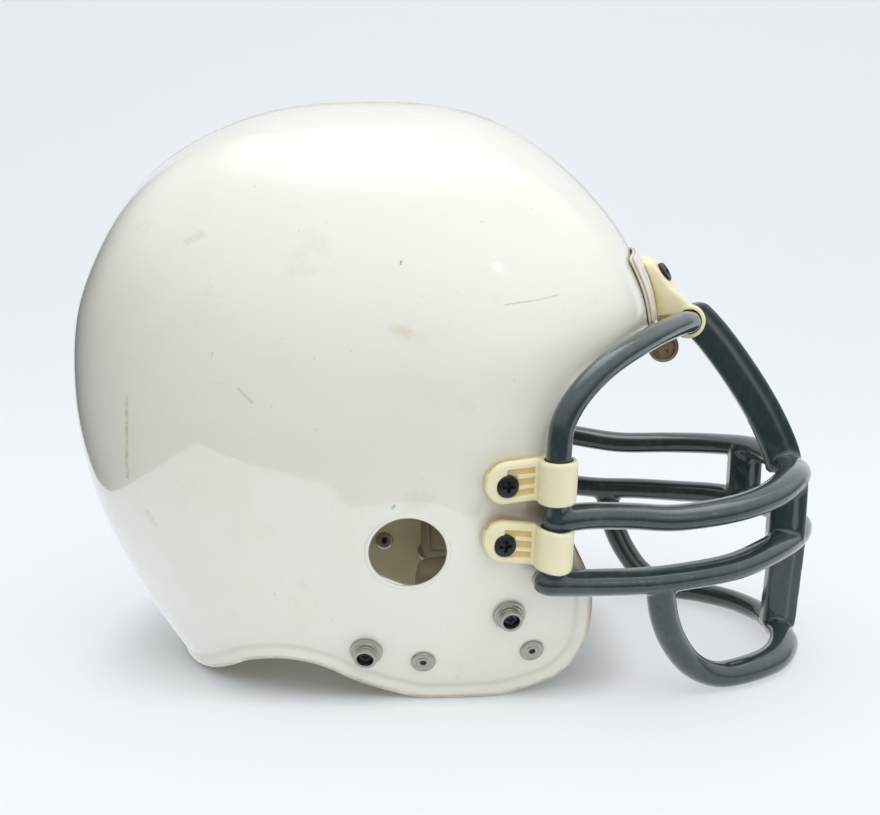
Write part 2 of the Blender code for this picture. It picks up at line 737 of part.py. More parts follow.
def stud_profile():
    """A cup on a neck and a flange, with the screw's hole through its floor."""
    bore = STUD_SHANK_RADIUS + GAP
    floor = STUD_HEIGHT - STUD_CUP_DEPTH
    return [
        (STUD_CUP_RADIUS, STUD_HEIGHT), (STUD_LIP_RADIUS, STUD_HEIGHT),
        (STUD_LIP_RADIUS, STUD_HEIGHT - STUD_LIP_HEIGHT),
        (STUD_NECK_RADIUS, STUD_HEIGHT - STUD_LIP_HEIGHT),
        (STUD_NECK_RADIUS, STUD_FLANGE_HEIGHT), (STUD_FLANGE_RADIUS, STUD_FLANGE_HEIGHT),
        (STUD_FLANGE_RADIUS, 0), (bore, 0), (bore, floor), (STUD_CUP_RADIUS, floor),
    ]


def stud_screw_profile():
    """The screw from the cup's floor to the nut inside; its head's seat is Z = 0."""
    length = STUD_HEIGHT - STUD_CUP_DEPTH + SEAT + SHELL_WALL + INNER_SEAT + STUD_NUT_HEIGHT
    return [
        (0, STUD_SCREW_HEAD_HEIGHT), (STUD_SCREW_HEAD_RADIUS, STUD_SCREW_HEAD_HEIGHT),
        (STUD_SCREW_HEAD_RADIUS, 0), (STUD_SHANK_RADIUS, 0), (STUD_SHANK_RADIUS, -length),
        (0, -length),
    ]


def stud_nut_profile():
    bore = STUD_SHANK_RADIUS + GAP
    return [
        (bore, 0), (STUD_NUT_RADIUS, 0), (STUD_NUT_RADIUS, -STUD_NUT_HEIGHT),
        (bore, -STUD_NUT_HEIGHT),
    ]


def rivet_profile():
    """A washer head with a blind hole, and a shank that reaches into the socket."""
    reach = SHELL_WALL + INNER_SEAT + SOCKET_HEIGHT / 2
    return [
        (0, 0), (RIVET_HOLE_RADIUS, 0), (RIVET_HOLE_RADIUS, RIVET_HEIGHT),
        (RIVET_RADIUS, RIVET_HEIGHT), (RIVET_RADIUS, 0), (RIVET_SHANK_RADIUS, 0),
        (RIVET_SHANK_RADIUS, -reach), (0, -reach),
    ]


def socket_profile():
    bore = RIVET_SHANK_RADIUS + GAP
    return [(bore, 0), (SOCKET_RADIUS, 0), (SOCKET_RADIUS, -SOCKET_HEIGHT), (bore, -SOCKET_HEIGHT)]


def plug_profile():
    reach = SHELL_WALL / 2
    return [
        (0, PLUG_HEIGHT), (PLUG_RADIUS, PLUG_HEIGHT), (PLUG_RADIUS, 0), (PLUG_SHANK_RADIUS, 0),
        (PLUG_SHANK_RADIUS, -reach), (0, -reach),
    ]


def pad(parts, name, surface, ranges, lift, thickness, finish):
    """A pillow that lies on the shell's inside: a patch of the surface, drawn in at its
    sides and crowned towards the head. Ranges give the patch's two spans."""
    low_a, high_a, low_b, high_b = ranges

    def make(shape):
        bmesh.ops.create_grid(shape, x_segments=PAD_CELLS, y_segments=PAD_CELLS, size=1)
        made = bmesh.ops.extrude_face_region(shape, geom=list(shape.faces))
        raised = {v for v in made["geom"] if isinstance(v, bmesh.types.BMVert)}
        for vertex in shape.verts:
            s, t = vertex.co.x, vertex.co.y
            edge = max(0.0, (1 - s**4) * (1 - t**4)) ** 0.5
            corner = 1 - PAD_CORNER_SHARE * (s * t) ** 2
            if vertex not in raised and edge == 0:
                corner *= PAD_FOOT_SHARE
            a = low_a + (high_a - low_a) * (1 + s * corner) / 2
            b = low_b + (high_b - low_b) * (1 + t * corner) / 2
            depth = lift
            if vertex in raised:
                depth += thickness * (PAD_EDGE_SHARE + (1 - PAD_EDGE_SHARE) * edge)
            vertex.co = surface(a, b) - depth * outward(surface, a, b)
        face_outwards(shape)

    mesh = mesh_of(make)
    mesh.shade_smooth()
    return add(name, mesh, parts, finish)


def brow_plate(parts, finish):
    """A thin plate that follows the forehead behind the brow straps."""
    low = math.asin((BROW_PLATE_LOW_SHARE - CENTRE_Z_SHARE) / RADIUS_SHARES[1])
    high = math.asin((BROW_PLATE_HIGH_SHARE - CENTRE_Z_SHARE) / RADIUS_SHARES[1])

    def make(shape):
        rows, columns = BROW_PLATE_CELLS
        bmesh.ops.create_grid(shape, x_segments=rows, y_segments=columns, size=1)
        for vertex in shape.verts:
            a = low + (high - low) * (1 + vertex.co.x) / 2
            b = BROW_PLATE_HALF_ANGLE * vertex.co.y
            vertex.co = shell_point(a, b) + SEAT * outward(shell_point, a, b)
        bmesh.ops.recalc_face_normals(shape, faces=shape.faces)
        if sum(face.normal.x for face in shape.faces) < 0:
            bmesh.ops.reverse_faces(shape, faces=shape.faces)

    plate = add("brow_plate", mesh_of(make), parts, finish)
    wall = plate.modifiers.new("wall", "SOLIDIFY")
    wall.thickness = BROW_PLATE_THICKNESS
    wall.offset = 1
    return plate


def brow_roll(parts, straps, finish):
    """The rolled lower edge of the front pad, under the brow."""
    edge = edge_line()[-1].y
    angle = math.asin((edge / SHELL_HEIGHT - CENTRE_Z_SHARE) / RADIUS_SHARES[0])
    points = []
    for k in range(BROW_ROLL_STEPS + 1):
        y = BROW_ROLL_HALF * (2 * k / BROW_ROLL_STEPS - 1)
        tilt = math.copysign(math.asin((abs(y) / (SHELL_WIDTH / 2)) ** (WIDTH_POWER / 2)), y)
        front = shell_point(angle, tilt)
        centre = edge - BROW_ROLL_RADIUS - BROW_ROLL_DROP
        points.append(Vector((front.x + BROW_ROLL_FORWARD - SHELL_WALL, y, centre)))
    return add("brow_roll", tube_curve(parts, "brow_roll", points, BROW_ROLL_RADIUS), parts, finish)


def parent_to(empty, items):
    bpy.context.view_layer.update()
    for item in items:
        item.parent = empty
        item.matrix_parent_inverse = empty.matrix_world.inverted()


def pivot(name, point, group):
    empty = bpy.data.objects.new(name, None)
    empty.location = point
    group.objects.link(empty)
    return empty


def stand_on_origin(group, others):
    """Moves the helmet so that the middle of its length and width is over the origin."""
    bpy.context.view_layer.update()
    graph = bpy.context.evaluated_depsgraph_get()
    lows, highs = [], []
    for item in group.objects:
        if item.type != "MESH":
            continue
        seen = item.evaluated_get(graph)
        corners = [seen.matrix_world @ Vector(corner) for corner in seen.bound_box]
        lows.append([min(c[k] for c in corners) for k in range(2)])
        highs.append([max(c[k] for c in corners) for k in range(2)])
    shift = [-(min(low[k] for low in lows) + max(high[k] for high in highs)) / 2 for k in range(2)]
    for item in [*group.objects, *others.objects]:
        if item.parent is None:
            item.matrix_world = Matrix.Translation((*shift, 0)) @ item.matrix_world
    bpy.context.view_layer.update()


def main():
    remove_everything()
    parts = collection("football_helmet")
    cutters = collection("cutters")
    white = material("shell_polycarbonate", (0.86, 0.85, 0.78), 0.18)
    slate = material("guard_plastic", (0.045, 0.062, 0.066), 0.28)
    cream = material("strap_nylon", (0.80, 0.72, 0.48), 0.38)
    clear = material("plate_plastic", (0.82, 0.80, 0.74), 0.25)
    tan = material("roll_vinyl", (0.46, 0.34, 0.24), 0.45)
    black = material("screw_black", (0.03, 0.035, 0.037), 0.35, 0.6)
    steel = material("fastener_steel", (0.52, 0.51, 0.47), 0.32, 1.0)
    vinyl = material("pad_vinyl", (0.30, 0.29, 0.26), 0.6)

    straps = Straps()
    shell = shell_body(parts, "shell", 0.0, white)
    hollow = hide(shell_body(cutters, "shell_hollow", SHELL_WALL))
    boolean(shell, hollow)
    boolean(shell, edge_cutter(cutters))

    guard_items = guard(parts, cutters, straps, slate)
    swinging = list(guard_items.values())

    side_screw = screw_mesh(parts, cutters, STRAP_THICKNESS)
    brow_stack = STRAP_THICKNESS + BROW_PLATE_THICKNESS + 2 * SEAT + GAP + SHELL_WALL + INNER_SEAT
    brow_stack += BROW_TNUT_DROP
    brow_screw = screw_mesh(parts, cutters, brow_stack)
    tnut = turned_mesh("tnut", tnut_profile(), parts, True)
    stud = turned_mesh("stud", stud_profile(), parts, True)
    stud_screw = turned_mesh("stud_screw", stud_screw_profile(), parts)
    stud_nut = turned_mesh("stud_nut", stud_nut_profile(), parts, True)
    rivet = turned_mesh("rivet", rivet_profile(), parts)
    socket = turned_mesh("socket", socket_profile(), parts, True)
    plug = turned_mesh("plug", plug_profile(), parts)

    holes = []
    inner = -(SHELL_WALL + INNER_SEAT)
    for side, word in SIDES.items():
        holes.append((EAR_RADIUS, side_seat(EAR_X_SHARE, EAR_Z_SHARE, side), EAR_STEPS))
        for level, step in (("upper", 0.5), ("lower", -0.5)):
            place = straps.side[side] @ Matrix.Translation((0, -side * step * STRAP_PITCH, 0))
            name = f"side_strap_{level}_{word}"
            strap = loop_strap(
                parts, cutters, name, place, STRAP_WIDTH, STRAP_REACH, STRAP_SCREW_BACK, cream
            )
            head = place @ Matrix.Translation((-STRAP_SCREW_BACK, 0, STRAP_THICKNESS + GAP))
            screw = add(f"side_screw_{level}_{word}", side_screw, parts, black, head)
            swinging += [strap, screw]
            spot = head.translation
            seat = side_seat(spot.x / SHELL_LENGTH, spot.z / SHELL_HEIGHT, side)
            add(f"side_tnut_{level}_{word}", tnut, parts, steel, lifted(seat, inner))
            holes.append((TNUT_BARREL_RADIUS + HOLE_CLEARANCE, seat, ROUND_STEPS))
        for end, (x_share, z_share) in STUD_SHARES.items():
            seat = side_seat(x_share, z_share, side)
            add(f"chin_stud_{end}_{word}", stud, parts, steel, lifted(seat, SEAT))
            floor = SEAT + STUD_HEIGHT - STUD_CUP_DEPTH + GAP
            add(f"stud_screw_{end}_{word}", stud_screw, parts, black, lifted(seat, floor))
            add(f"stud_nut_{end}_{word}", stud_nut, parts, steel, lifted(seat, inner))
            holes.append((STUD_SHANK_RADIUS + HOLE_CLEARANCE, seat, ROUND_STEPS))
        for end, (x_share, z_share) in RIVET_SHARES.items():
            seat = side_seat(x_share, z_share, side)
            add(f"jaw_rivet_{end}_{word}", rivet, parts, steel, lifted(seat, SEAT))
            add(f"jaw_socket_{end}_{word}", socket, parts, steel, lifted(seat, inner))
            holes.append((RIVET_SHANK_RADIUS + HOLE_CLEARANCE, seat, ROUND_STEPS))
        seat = side_seat(PLUG_X_SHARE, PLUG_Z / SHELL_HEIGHT, side)
        add(f"hole_plug_{word}", plug, parts, white, lifted(seat, SEAT))
        holes.append((PLUG_SHANK_RADIUS + HOLE_CLEARANCE, seat, ROUND_STEPS))

        across = Matrix.Translation((0, side * BROW_STRAP_SPREAD, 0))
        place = straps.brow_seat @ across
        loop_strap(
            parts, cutters, f"brow_strap_{word}", place, BROW_STRAP_WIDTH, BROW_STRAP_REACH, 0, cream
        )
        add(f"brow_screw_{word}", brow_screw, parts, black, lifted(place, STRAP_THICKNESS + GAP))
        seat = straps.brow @ across
        add(f"brow_tnut_{word}", tnut, parts, steel, lifted(seat, inner - BROW_TNUT_DROP))
        holes.append((TNUT_BARREL_RADIUS + HOLE_CLEARANCE, seat, ROUND_STEPS))

    def hole_shapes(shape):
        for radius, seat, segments in holes:
            cylinder(shape, radius, HOLE_LENGTH, seat, segments)

    boolean(shell, hide(add("shell_holes", mesh_of(hole_shapes), cutters)))

    plate = brow_plate(parts, clear)

    def plate_cuts(shape):
        for side in SIDES:
            place = straps.brow @ Matrix.Translation((0, side * BROW_STRAP_SPREAD, 0))
            cylinder(shape, SCREW_SHANK_RADIUS + HOLE_CLEARANCE, HOLE_LENGTH, place)

    boolean(plate, hide(add("plate_holes", mesh_of(plate_cuts), cutters)))
    brow_roll(parts, straps, tan)

    low, high, half = CROWN_PAD_ANGLES
    pad(parts, "crown_pad", shell_point, (low, high, -half, half), PAD_LIFT, PAD_THICKNESS, vinyl)
    low, high, half = FRONT_PAD_ANGLES
    pad(parts, "front_pad", shell_point, (low, high, -half, half), NUT_LIFT, PAD_THICKNESS, vinyl)
    low, high, half = REAR_PAD_ANGLES
    pad(parts, "rear_pad", shell_point, (low, high, -half, half), PAD_LIFT - 2 * GAP, PAD_THICKNESS, vinyl)
    for side, word in SIDES.items():
        surface = side_surface(side)
        pad(parts, f"side_pad_{word}", surface, SIDE_PAD_SHARES, PAD_LIFT, PAD_THICKNESS, vinyl)
        jaw = pad(
            parts, f"jaw_pad_{word}", surface, JAW_PAD_SHARES, JAW_PAD_LIFT, JAW_PAD_THICKNESS, vinyl
        )
        seat = side_seat(RIVET_SHARES["front"][0], RIVET_SHARES["front"][1], side)
        parent_to(pivot(f"jaw_pad_slide_{word}", seat.translation, parts), [jaw])

    hinge = pivot("guard_hinge", straps.crossbar(), parts)
    parent_to(hinge, swinging)
    stand_on_origin(parts, cutters)


main()
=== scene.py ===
"""A white football helmet with a moulded slate face guard, cream loop straps, metal studs and
a vinyl liner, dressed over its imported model. Run it as a script; each operator makes one group.
Lengths are metres, X runs forward, Y to the wearer's left and Z up."""

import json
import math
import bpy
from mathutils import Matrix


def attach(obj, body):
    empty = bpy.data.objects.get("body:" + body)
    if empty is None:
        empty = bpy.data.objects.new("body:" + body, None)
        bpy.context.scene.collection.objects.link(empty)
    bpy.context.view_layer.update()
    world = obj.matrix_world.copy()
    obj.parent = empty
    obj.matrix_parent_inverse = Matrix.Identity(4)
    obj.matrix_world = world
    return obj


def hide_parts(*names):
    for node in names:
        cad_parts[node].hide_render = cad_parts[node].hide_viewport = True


bl_info = {
    "name": "Football helmet",
    "version": (1, 0, 0),
    "blender": (4, 5, 0),
    "location": "3D View > Sidebar > Helmet",
    "description": "Makes the visible surfaces of a football helmet around its packed model",
    "category": "Object",
}

import bmesh
import bpy
import numpy as np
from mathutils import Matrix, Vector

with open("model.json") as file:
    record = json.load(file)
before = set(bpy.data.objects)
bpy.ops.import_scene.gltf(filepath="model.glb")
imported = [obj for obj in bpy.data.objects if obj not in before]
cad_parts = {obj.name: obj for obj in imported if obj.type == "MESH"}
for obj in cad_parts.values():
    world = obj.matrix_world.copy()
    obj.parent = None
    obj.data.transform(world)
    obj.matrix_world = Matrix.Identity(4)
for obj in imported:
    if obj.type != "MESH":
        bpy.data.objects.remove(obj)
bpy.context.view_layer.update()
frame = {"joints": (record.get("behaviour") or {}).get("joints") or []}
HINGE = next(j for j in frame["joints"] if j["name"] == "guard_swing")["pos_m"]
SIDES = {-1: "right", 1: "left"}
PICTURE_WIDTH = 880


# Properties


def length(name, description, default):
    return bpy.props.FloatProperty(
        name=name, description=description, default=default, min=0.0, precision=5, unit="LENGTH"
    )


def share(name, description, default):
    return bpy.props.FloatProperty(name=name, description=description, default=default, precision=4)


def linear(value):
    """The sRGB curve undone: a power of 2.4 above the short straight piece at the bottom."""
    return value / 12.92 if value <= 0.04045 else ((value + 0.055) / 1.055) ** 2.4


def rgb(*values):
    """A colour as it shows on screen, 0 to 255, in linear light."""
    return tuple(linear(value / 255) for value in values)


def colour(name, description, *values):
    """A colour property whose default is given as it shows on screen."""
    return bpy.props.FloatVectorProperty(
        name=name, description=description, subtype="COLOR", size=3, min=0.0, max=1.0,
        default=rgb(*values),
    )


class HelmetSizes(bpy.types.PropertyGroup):
    """Sizes of the helmet's pieces."""

    shell_length: length("Shell length", "Front to back, over the outside", 0.272)
    shell_height: length("Shell height", "Jaw flaps to crown", 0.262)
    shell_width: length("Shell width", "Over the outside at the temples", 0.222)
    shell_wall: length("Shell wall", "Thickness of the moulded shell", 0.0035)
    centre_x: share("Centre, along", "Share of the length from the part's own middle", -0.14)
    centre_z: share("Centre, up", "Share of the height", 0.495)
    width_power: share("Roundness across", "Power of the curve across the shell", 2.2)
    jaw_taper: share("Jaw taper", "How much narrower the shell is at the jaw", 0.18)
    jaw_taper_power: share("Jaw taper's curve", "Power of the taper", 1.25)
    rim_width: length("Rim band", "Width of the rolled band along the edge", 0.0052)
    rim_height: length("Rim height", "How far the band stands up", 0.0011)
    rib_half: length("Rib", "Half the width of the rib along the middle", 0.0070)
    rib_height: length("Rib height", "How far the rib stands above its sides", 0.0011)
    ear_radius: length("Ear hole", "Radius of the ear hole", 0.0169)
    boss_radius: length("Ear boss", "Radius of the raised ring round the ear hole", 0.033)
    boss_height: length("Boss height", "How far the ear boss stands up", 0.0012)
    post_radius: length("Post", "Radius of the guard's round bars", 0.00525)
    lens_height: length("Bar half height", "Half the height of the lens bars", 0.0056)
    lens_depth: length("Bar half depth", "Half the depth of the lens bars", 0.0079)
    loop_radius: length("Jaw loop", "Radius of the jaw loop", 0.0062)
    strut_thickness: length("Strut thickness", "Across the guard's struts", 0.0100)
    strut_depth: length("Strut depth", "Front to back of the struts", 0.0170)
    guard_voxel: length("Guard grain", "Cell size of the fused guard", 0.00098)
    strap_width: length("Side strap width", "Width of the side loop straps", 0.0182)
    strap_thickness: length("Strap thickness", "Thickness of a loop strap's flat", 0.0048)
    strap_pitch: length("Strap pitch", "From the upper strap to the lower one", 0.0296)
    brow_strap_width: length("Brow strap width", "Width of the brow loop straps", 0.0170)
    screw_radius: length("Screw head", "Radius of the strap screws' heads", 0.0048)
    pad_thickness: length("Pad thickness", "Thickness of the liner pads", 0.022)


class HelmetColours(bpy.types.PropertyGroup):
    """Colours of the helmet's finishes."""

    shell: colour("Shell", "Off-white polycarbonate", 243, 242, 230)
    shell_aged: colour("Aged shell", "Yellowed polycarbonate", 232, 226, 205)
    shell_inside: colour("Shell inside", "Unpainted inner wall", 205, 196, 166)
    guard: colour("Guard", "Slate moulded plastic", 40, 55, 58)
    guard_worn: colour("Worn guard", "Slate plastic where it is rubbed", 84, 97, 101)
    strap: colour("Strap", "Cream nylon", 246, 240, 206)
    # The strap recess colour is also the painted shade low on the straps' sides
    strap_deep: colour("Strap recess", "Aged nylon in the recesses", 226, 198, 122)
    screw: colour("Screw", "Blackened steel", 46, 51, 52)
    metal: colour("Fasteners", "Nickel-plated metal", 178, 175, 166)
    plate: colour("Brow plate", "Pale moulded plate", 234, 230, 219)
    roll: colour("Brow roll", "Tan vinyl roll", 160, 150, 136)
    pad: colour("Pads", "Liner vinyl", 168, 159, 136)
    backdrop: colour("Backdrop", "Floor and backdrop", 243, 247, 251)


def sizes():
    return bpy.context.scene.helmet_sizes


def colours():
    return bpy.context.scene.helmet_colours


# Tables, in shares of the shell's length and height: the outline's radius at equal steps of
# angle from the front upwards, the lower edge from the nape to the brow, and the hardware
RADIUS_SHARES = np.array((
    0.510, 0.522, 0.522, 0.524, 0.509, 0.521, 0.532, 0.520,
    0.505, 0.513, 0.550, 0.640, 0.760, 0.810, 0.760, 0.600,
))
EDGE_SHARES = np.array((
    (-0.440, 0.000), (-0.400, 0.012), (-0.360, 0.034), (-0.320, 0.058), (-0.260, 0.071),
    (-0.200, 0.063), (-0.140, 0.033), (-0.080, 0.011), (-0.030, 0.000), (0.070, 0.000),
    (0.125, 0.012), (0.182, 0.036), (0.222, 0.090), (0.232, 0.165), (0.222, 0.225),
    (0.198, 0.282), (0.176, 0.335), (0.167, 0.400), (0.171, 0.460), (0.200, 0.515),
    (0.255, 0.565), (0.325, 0.596), (0.420, 0.605),
))
EAR_SHARES = (-0.060, 0.286)
STUD_SHARES = {"front": (0.097, 0.166), "rear": (-0.128, 0.099)}
RIVET_SHARES = {"front": (0.136, 0.092), "rear": (-0.038, 0.078)}
PLUG_SHARES = (0.146, 0.229)
# How far main() moves everything along X, so that the crossbar meets the joint's axis
moved = {"along": 0.0}


# Surfaces


def catmull_rom(before, here, after, later, part):
    """The cubic through here and after whose slopes come from the neighbours."""
    bend = 2 * before - 5 * here + 4 * after - later
    twist = 3 * (here - after) + later - before
    return here + 0.5 * part * ((after - before) + part * (bend + part * twist))


def smooth_route(points, steps):
    """A Catmull-Rom route through the points, steps to each gap, as one array."""
    points = np.asarray(points, float)
    ends = np.vstack((2 * points[0] - points[1], points, 2 * points[-1] - points[-2]))
    gap = np.repeat(np.arange(len(points) - 1), steps)
    part = np.tile(np.arange(steps) / steps, len(points) - 1)[:, None]
    curve = catmull_rom(ends[gap], ends[gap + 1], ends[gap + 2], ends[gap + 3], part)
    return np.vstack((curve, points[-1]))


def evenly(carried, points, count):
    """The carried rows at count places at equal distances along the points."""
    gaps = np.linalg.norm(np.diff(points, axis=0), axis=1)
    along = np.concatenate(([0.0], np.cumsum(gaps)))
    wanted = np.linspace(0.0, along[-1], count)
    return np.stack([np.interp(wanted, along, column) for column in carried.T], axis=1)


def smoothstep(low, high, value):
    """0 below low, 1 above high, and 3t^2 - 2t^3 between."""
    part = np.clip((value - low) / (high - low), 0.0, 1.0)
    return part * part * (3 - 2 * part)


def fade(low, high, value):
    """1 below low and 0 above high, smoothly."""
    return 1 - smoothstep(low, high, value)


def quarter(part):
    """The height of a quarter circle, from 0 at 0 to 1 at 1."""
    return np.sqrt(1 - (1 - np.clip(part, 0, 1)) ** 2)


def circle(count):
    """Points of a circle of radius 1 at equal steps."""
    turn = np.arange(count) * math.tau / count
    return np.stack((np.cos(turn), np.sin(turn)), axis=-1)


def unit(vectors):
    return vectors / np.linalg.norm(vectors, axis=-1, keepdims=True)


def toward(angle, cosine, sine):
    """Directions at an angle of the side view and a tilt aside with this cosine and sine."""
    return np.stack((cosine * np.cos(angle), sine, cosine * np.sin(angle)), axis=-1)


def radius_share(angle):
    """The outline's radius: a closed Catmull-Rom table over the whole turn."""
    place = np.mod(angle, math.tau) / math.tau * len(RADIUS_SHARES)
    step = np.floor(place).astype(int)
    near = [RADIUS_SHARES[(step + k) % len(RADIUS_SHARES)] for k in (-1, 0, 1, 2)]
    return catmull_rom(*near, place - step)


def centre():
    s = sizes()
    along = s.centre_x * s.shell_length + moved["along"]
    return np.array((along, 0.0, s.centre_z * s.shell_height))


def width_at(z):
    """The half width, which tapers below the centre as a power of the drop."""
    s = sizes()
    middle = s.centre_z * s.shell_height
    drop = np.maximum(0.0, (middle - z) / middle)
    return s.shell_width / 2 * (1 - s.jaw_taper * drop**s.jaw_taper_power)


def shell_toward(direction):
    """The outer surface in a direction: the outline's radius at its angle, drawn in by a power
    of the cosine of its tilt, and the half width times the same power of the sine."""
    s = sizes()
    direction = unit(direction)
    angle = np.arctan2(direction[..., 2], direction[..., 0])
    sine = np.clip(direction[..., 1], -1.0, 1.0)
    power = 2 / s.width_power
    fill = np.maximum(0.0, 1 - sine**2) ** (power / 2)
    radius = radius_share(angle) * fill
    middle = centre()
    x = middle[0] + s.shell_length * radius * np.cos(angle)
    z = middle[2] + s.shell_height * radius * np.sin(angle)
    y = np.sign(sine) * np.abs(sine) ** power * width_at(z)
    return np.stack((x, y, z), axis=-1)


def shell_normals(direction):
    """Cross product of the surface's steps along two directions square to the first."""
    direction = unit(direction)
    steep = np.abs(direction[..., 1:2]) > 0.9
    first = unit(np.cross(direction, np.where(steep, (1.0, 0.0, 0.0), (0.0, 1.0, 0.0))))
    second = np.cross(direction, first)
    step = 2e-3
    across = shell_toward(direction + step * first) - shell_toward(direction - step * first)
    along = shell_toward(direction + step * second) - shell_toward(direction - step * second)
    normal = unit(np.cross(across, along))
    outward = np.sum(normal * (shell_toward(direction) - centre()), axis=-1, keepdims=True)
    return np.where(outward > 0, normal, -normal)


def side_direction(x, z, side):
    """The direction whose surface point lies over a place in the side view."""
    s = sizes()
    middle = centre()
    across = (np.asarray(x, float) - middle[0]) / s.shell_length
    up = (np.asarray(z, float) - middle[2]) / s.shell_height
    angle = np.arctan2(up, across)
    fill = np.minimum(1.0, np.hypot(across, up) / radius_share(angle))
    cosine = fill ** (s.width_power / 2)
    sine = side * np.sqrt(np.maximum(0.0, 1 - cosine**2))
    return toward(angle, cosine, sine)


def brow_direction(angle, y):
    """The direction of a forehead point at an angle of the side view and a distance aside."""
    s = sizes()
    share_across = np.clip(np.abs(y) / (s.shell_width / 2), 0.0, 1.0)
    sine = np.sign(y) * share_across ** (s.width_power / 2)
    cosine = np.sqrt(1 - sine**2)
    return toward(angle, cosine, sine)


def ahead(part):
    """X of a share of the shell's length."""
    return part * sizes().shell_length + moved["along"]


def frame_at(point, normal, forward):
    """A frame with Z along the normal and X as near to forward as the surface allows."""
    z_axis = Vector(normal).normalized()
    forward = Vector(forward)
    x_axis = (forward - forward.dot(z_axis) * z_axis).normalized()
    y_axis = z_axis.cross(x_axis)
    turn = Matrix((x_axis, y_axis, z_axis)).transposed().to_4x4()
    return Matrix.Translation(point) @ turn


def seat_at(x, z, side):
    direction = side_direction(x, z, side)
    return frame_at(shell_toward(direction), shell_normals(direction), (1, 0, 0))


def seat(shares, side):
    return seat_at(ahead(shares[0]), shares[1] * sizes().shell_height, side)


def shifted(place, x, y, z):
    return place @ Matrix.Translation((x, y, z))


def lifted(place, height):
    return shifted(place, 0, 0, height)


def spun(place, degrees, axis):
    return place @ Matrix.Rotation(math.radians(degrees), 4, axis)


def placed(points, matrix):
    """Points turned and moved by a matrix."""
    matrix = np.array(matrix)
    return points @ matrix[:3, :3].T + matrix[:3, 3]


# Meshes


def grid_faces(rows, columns, wrap_rows=False, wrap_columns=False, first=0):
    """Quads of a grid of points numbered along its rows."""
    down = np.arange(rows if wrap_rows else rows - 1)
    over = np.arange(columns if wrap_columns else columns - 1)
    a, b = np.meshgrid(down, over, indexing="ij")
    c, d = (a + 1) % rows, (b + 1) % columns
    faces = np.stack((a * columns + b, a * columns + d, c * columns + d, c * columns + b), axis=-1)
    return faces.reshape(-1, 4) + first


def new_piece(name, points, faces, finish, merge, sharp, attributes=None):
    """An object from points and faces: doubles merged, normals outwards, smooth but for its
    sharp edges. Attributes are values to each point."""
    mesh = bpy.data.meshes.new(name)
    mesh.from_pydata(points, [], faces.tolist() if hasattr(faces, "tolist") else faces)
    for label, values in (attributes or {}).items():
        set_values(mesh, label, values)
    tidy(mesh, merge, sharp)
    mesh.materials.append(finish_of(finish))
    return linked(name, mesh)


def linked(name, data):
    """An object of a mesh, a lamp or a camera, in the scene."""
    item = bpy.data.objects.new(name, data)
    bpy.context.scene.collection.objects.link(item)
    return item


def set_values(mesh, label, values):
    """Writes one value to each point of a mesh, which its material reads by this name."""
    layer = mesh.attributes.new(label, "FLOAT", "POINT")
    layer.data.foreach_set("value", np.asarray(values, np.float32).ravel())


def tidy(mesh, merge, sharp):
    """Merges doubles, turns normals outwards and shades the mesh."""
    shape = bmesh.new()
    shape.from_mesh(mesh)
    bmesh.ops.remove_doubles(shape, verts=shape.verts, dist=merge)
    bmesh.ops.recalc_face_normals(shape, faces=shape.faces)
    if shape.calc_volume(signed=True) < 0:
        bmesh.ops.reverse_faces(shape, faces=shape.faces)
    shape.to_mesh(mesh)
    shape.free()
    mesh.shade_smooth()
    if sharp:
        mesh.set_sharp_from_angle(angle=math.radians(sharp))


def apply_modifiers(item):
    """Applies the item's modifiers to its mesh."""
    bpy.context.view_layer.update()
    graph = bpy.context.evaluated_depsgraph_get()
    mesh = bpy.data.meshes.new_from_object(item.evaluated_get(graph))
    item.modifiers.clear()
    item.data = mesh


def rounded(profile, radius, steps=4, closed=False):
    """A profile whose corners are cut back and bridged by quadratic curves."""
    points = np.asarray(profile, float)
    out = []
    count = len(points)
    for k, corner in enumerate(points):
        if not closed and k in (0, count - 1):
            out.append(corner)
            continue
        before, after = points[(k - 1) % count], points[(k + 1) % count]
        back, on = before - corner, after - corner
        cut = min(radius, 0.45 * np.linalg.norm(back), 0.45 * np.linalg.norm(on))
        start = corner + cut * unit(back)
        end = corner + cut * unit(on)
        for part in np.linspace(0, 1, steps + 1):
            out.append((1 - part) ** 2 * start + 2 * part * (1 - part) * corner + part**2 * end)
    return np.array(out)


def turned_points(profile, columns):
    """A profile of radius and height carried round Z."""
    flat = profile[:, None, 0:1] * circle(columns)[None]
    height = np.broadcast_to(profile[:, None, 1:2], (len(profile), columns, 1))
    return np.concatenate((flat, height), axis=-1)


def turned(name, profile, matrix, finish, columns=72, closed=False, bend=None, sharp=40.0):
    """A turned piece; bend changes its grid of points before it is placed."""
    grid = turned_points(np.asarray(profile, float), columns)
    if bend is not None:
        grid = bend(grid)
    faces = grid_faces(len(profile), columns, closed, True)
    return new_piece(name, placed(grid.reshape(-1, 3), matrix), faces, finish, 1e-6, sharp)


def path_frames(path, reference):
    """Aside and up at each point of a path: aside is square to the reference."""
    tangent = unit(np.gradient(path, axis=0))
    aside = unit(np.cross(tangent, np.broadcast_to(reference, path.shape)))
    return aside, np.cross(aside, tangent)


def swept_points(path, section, reference=(0.0, 0.0, 1.0)):
    """A section of aside and up offsets, one row to each path point, carried along the path."""
    aside, up = path_frames(path, reference)
    return path[:, None] + section[..., 0:1] * aside[:, None] + section[..., 1:2] * up[:, None]


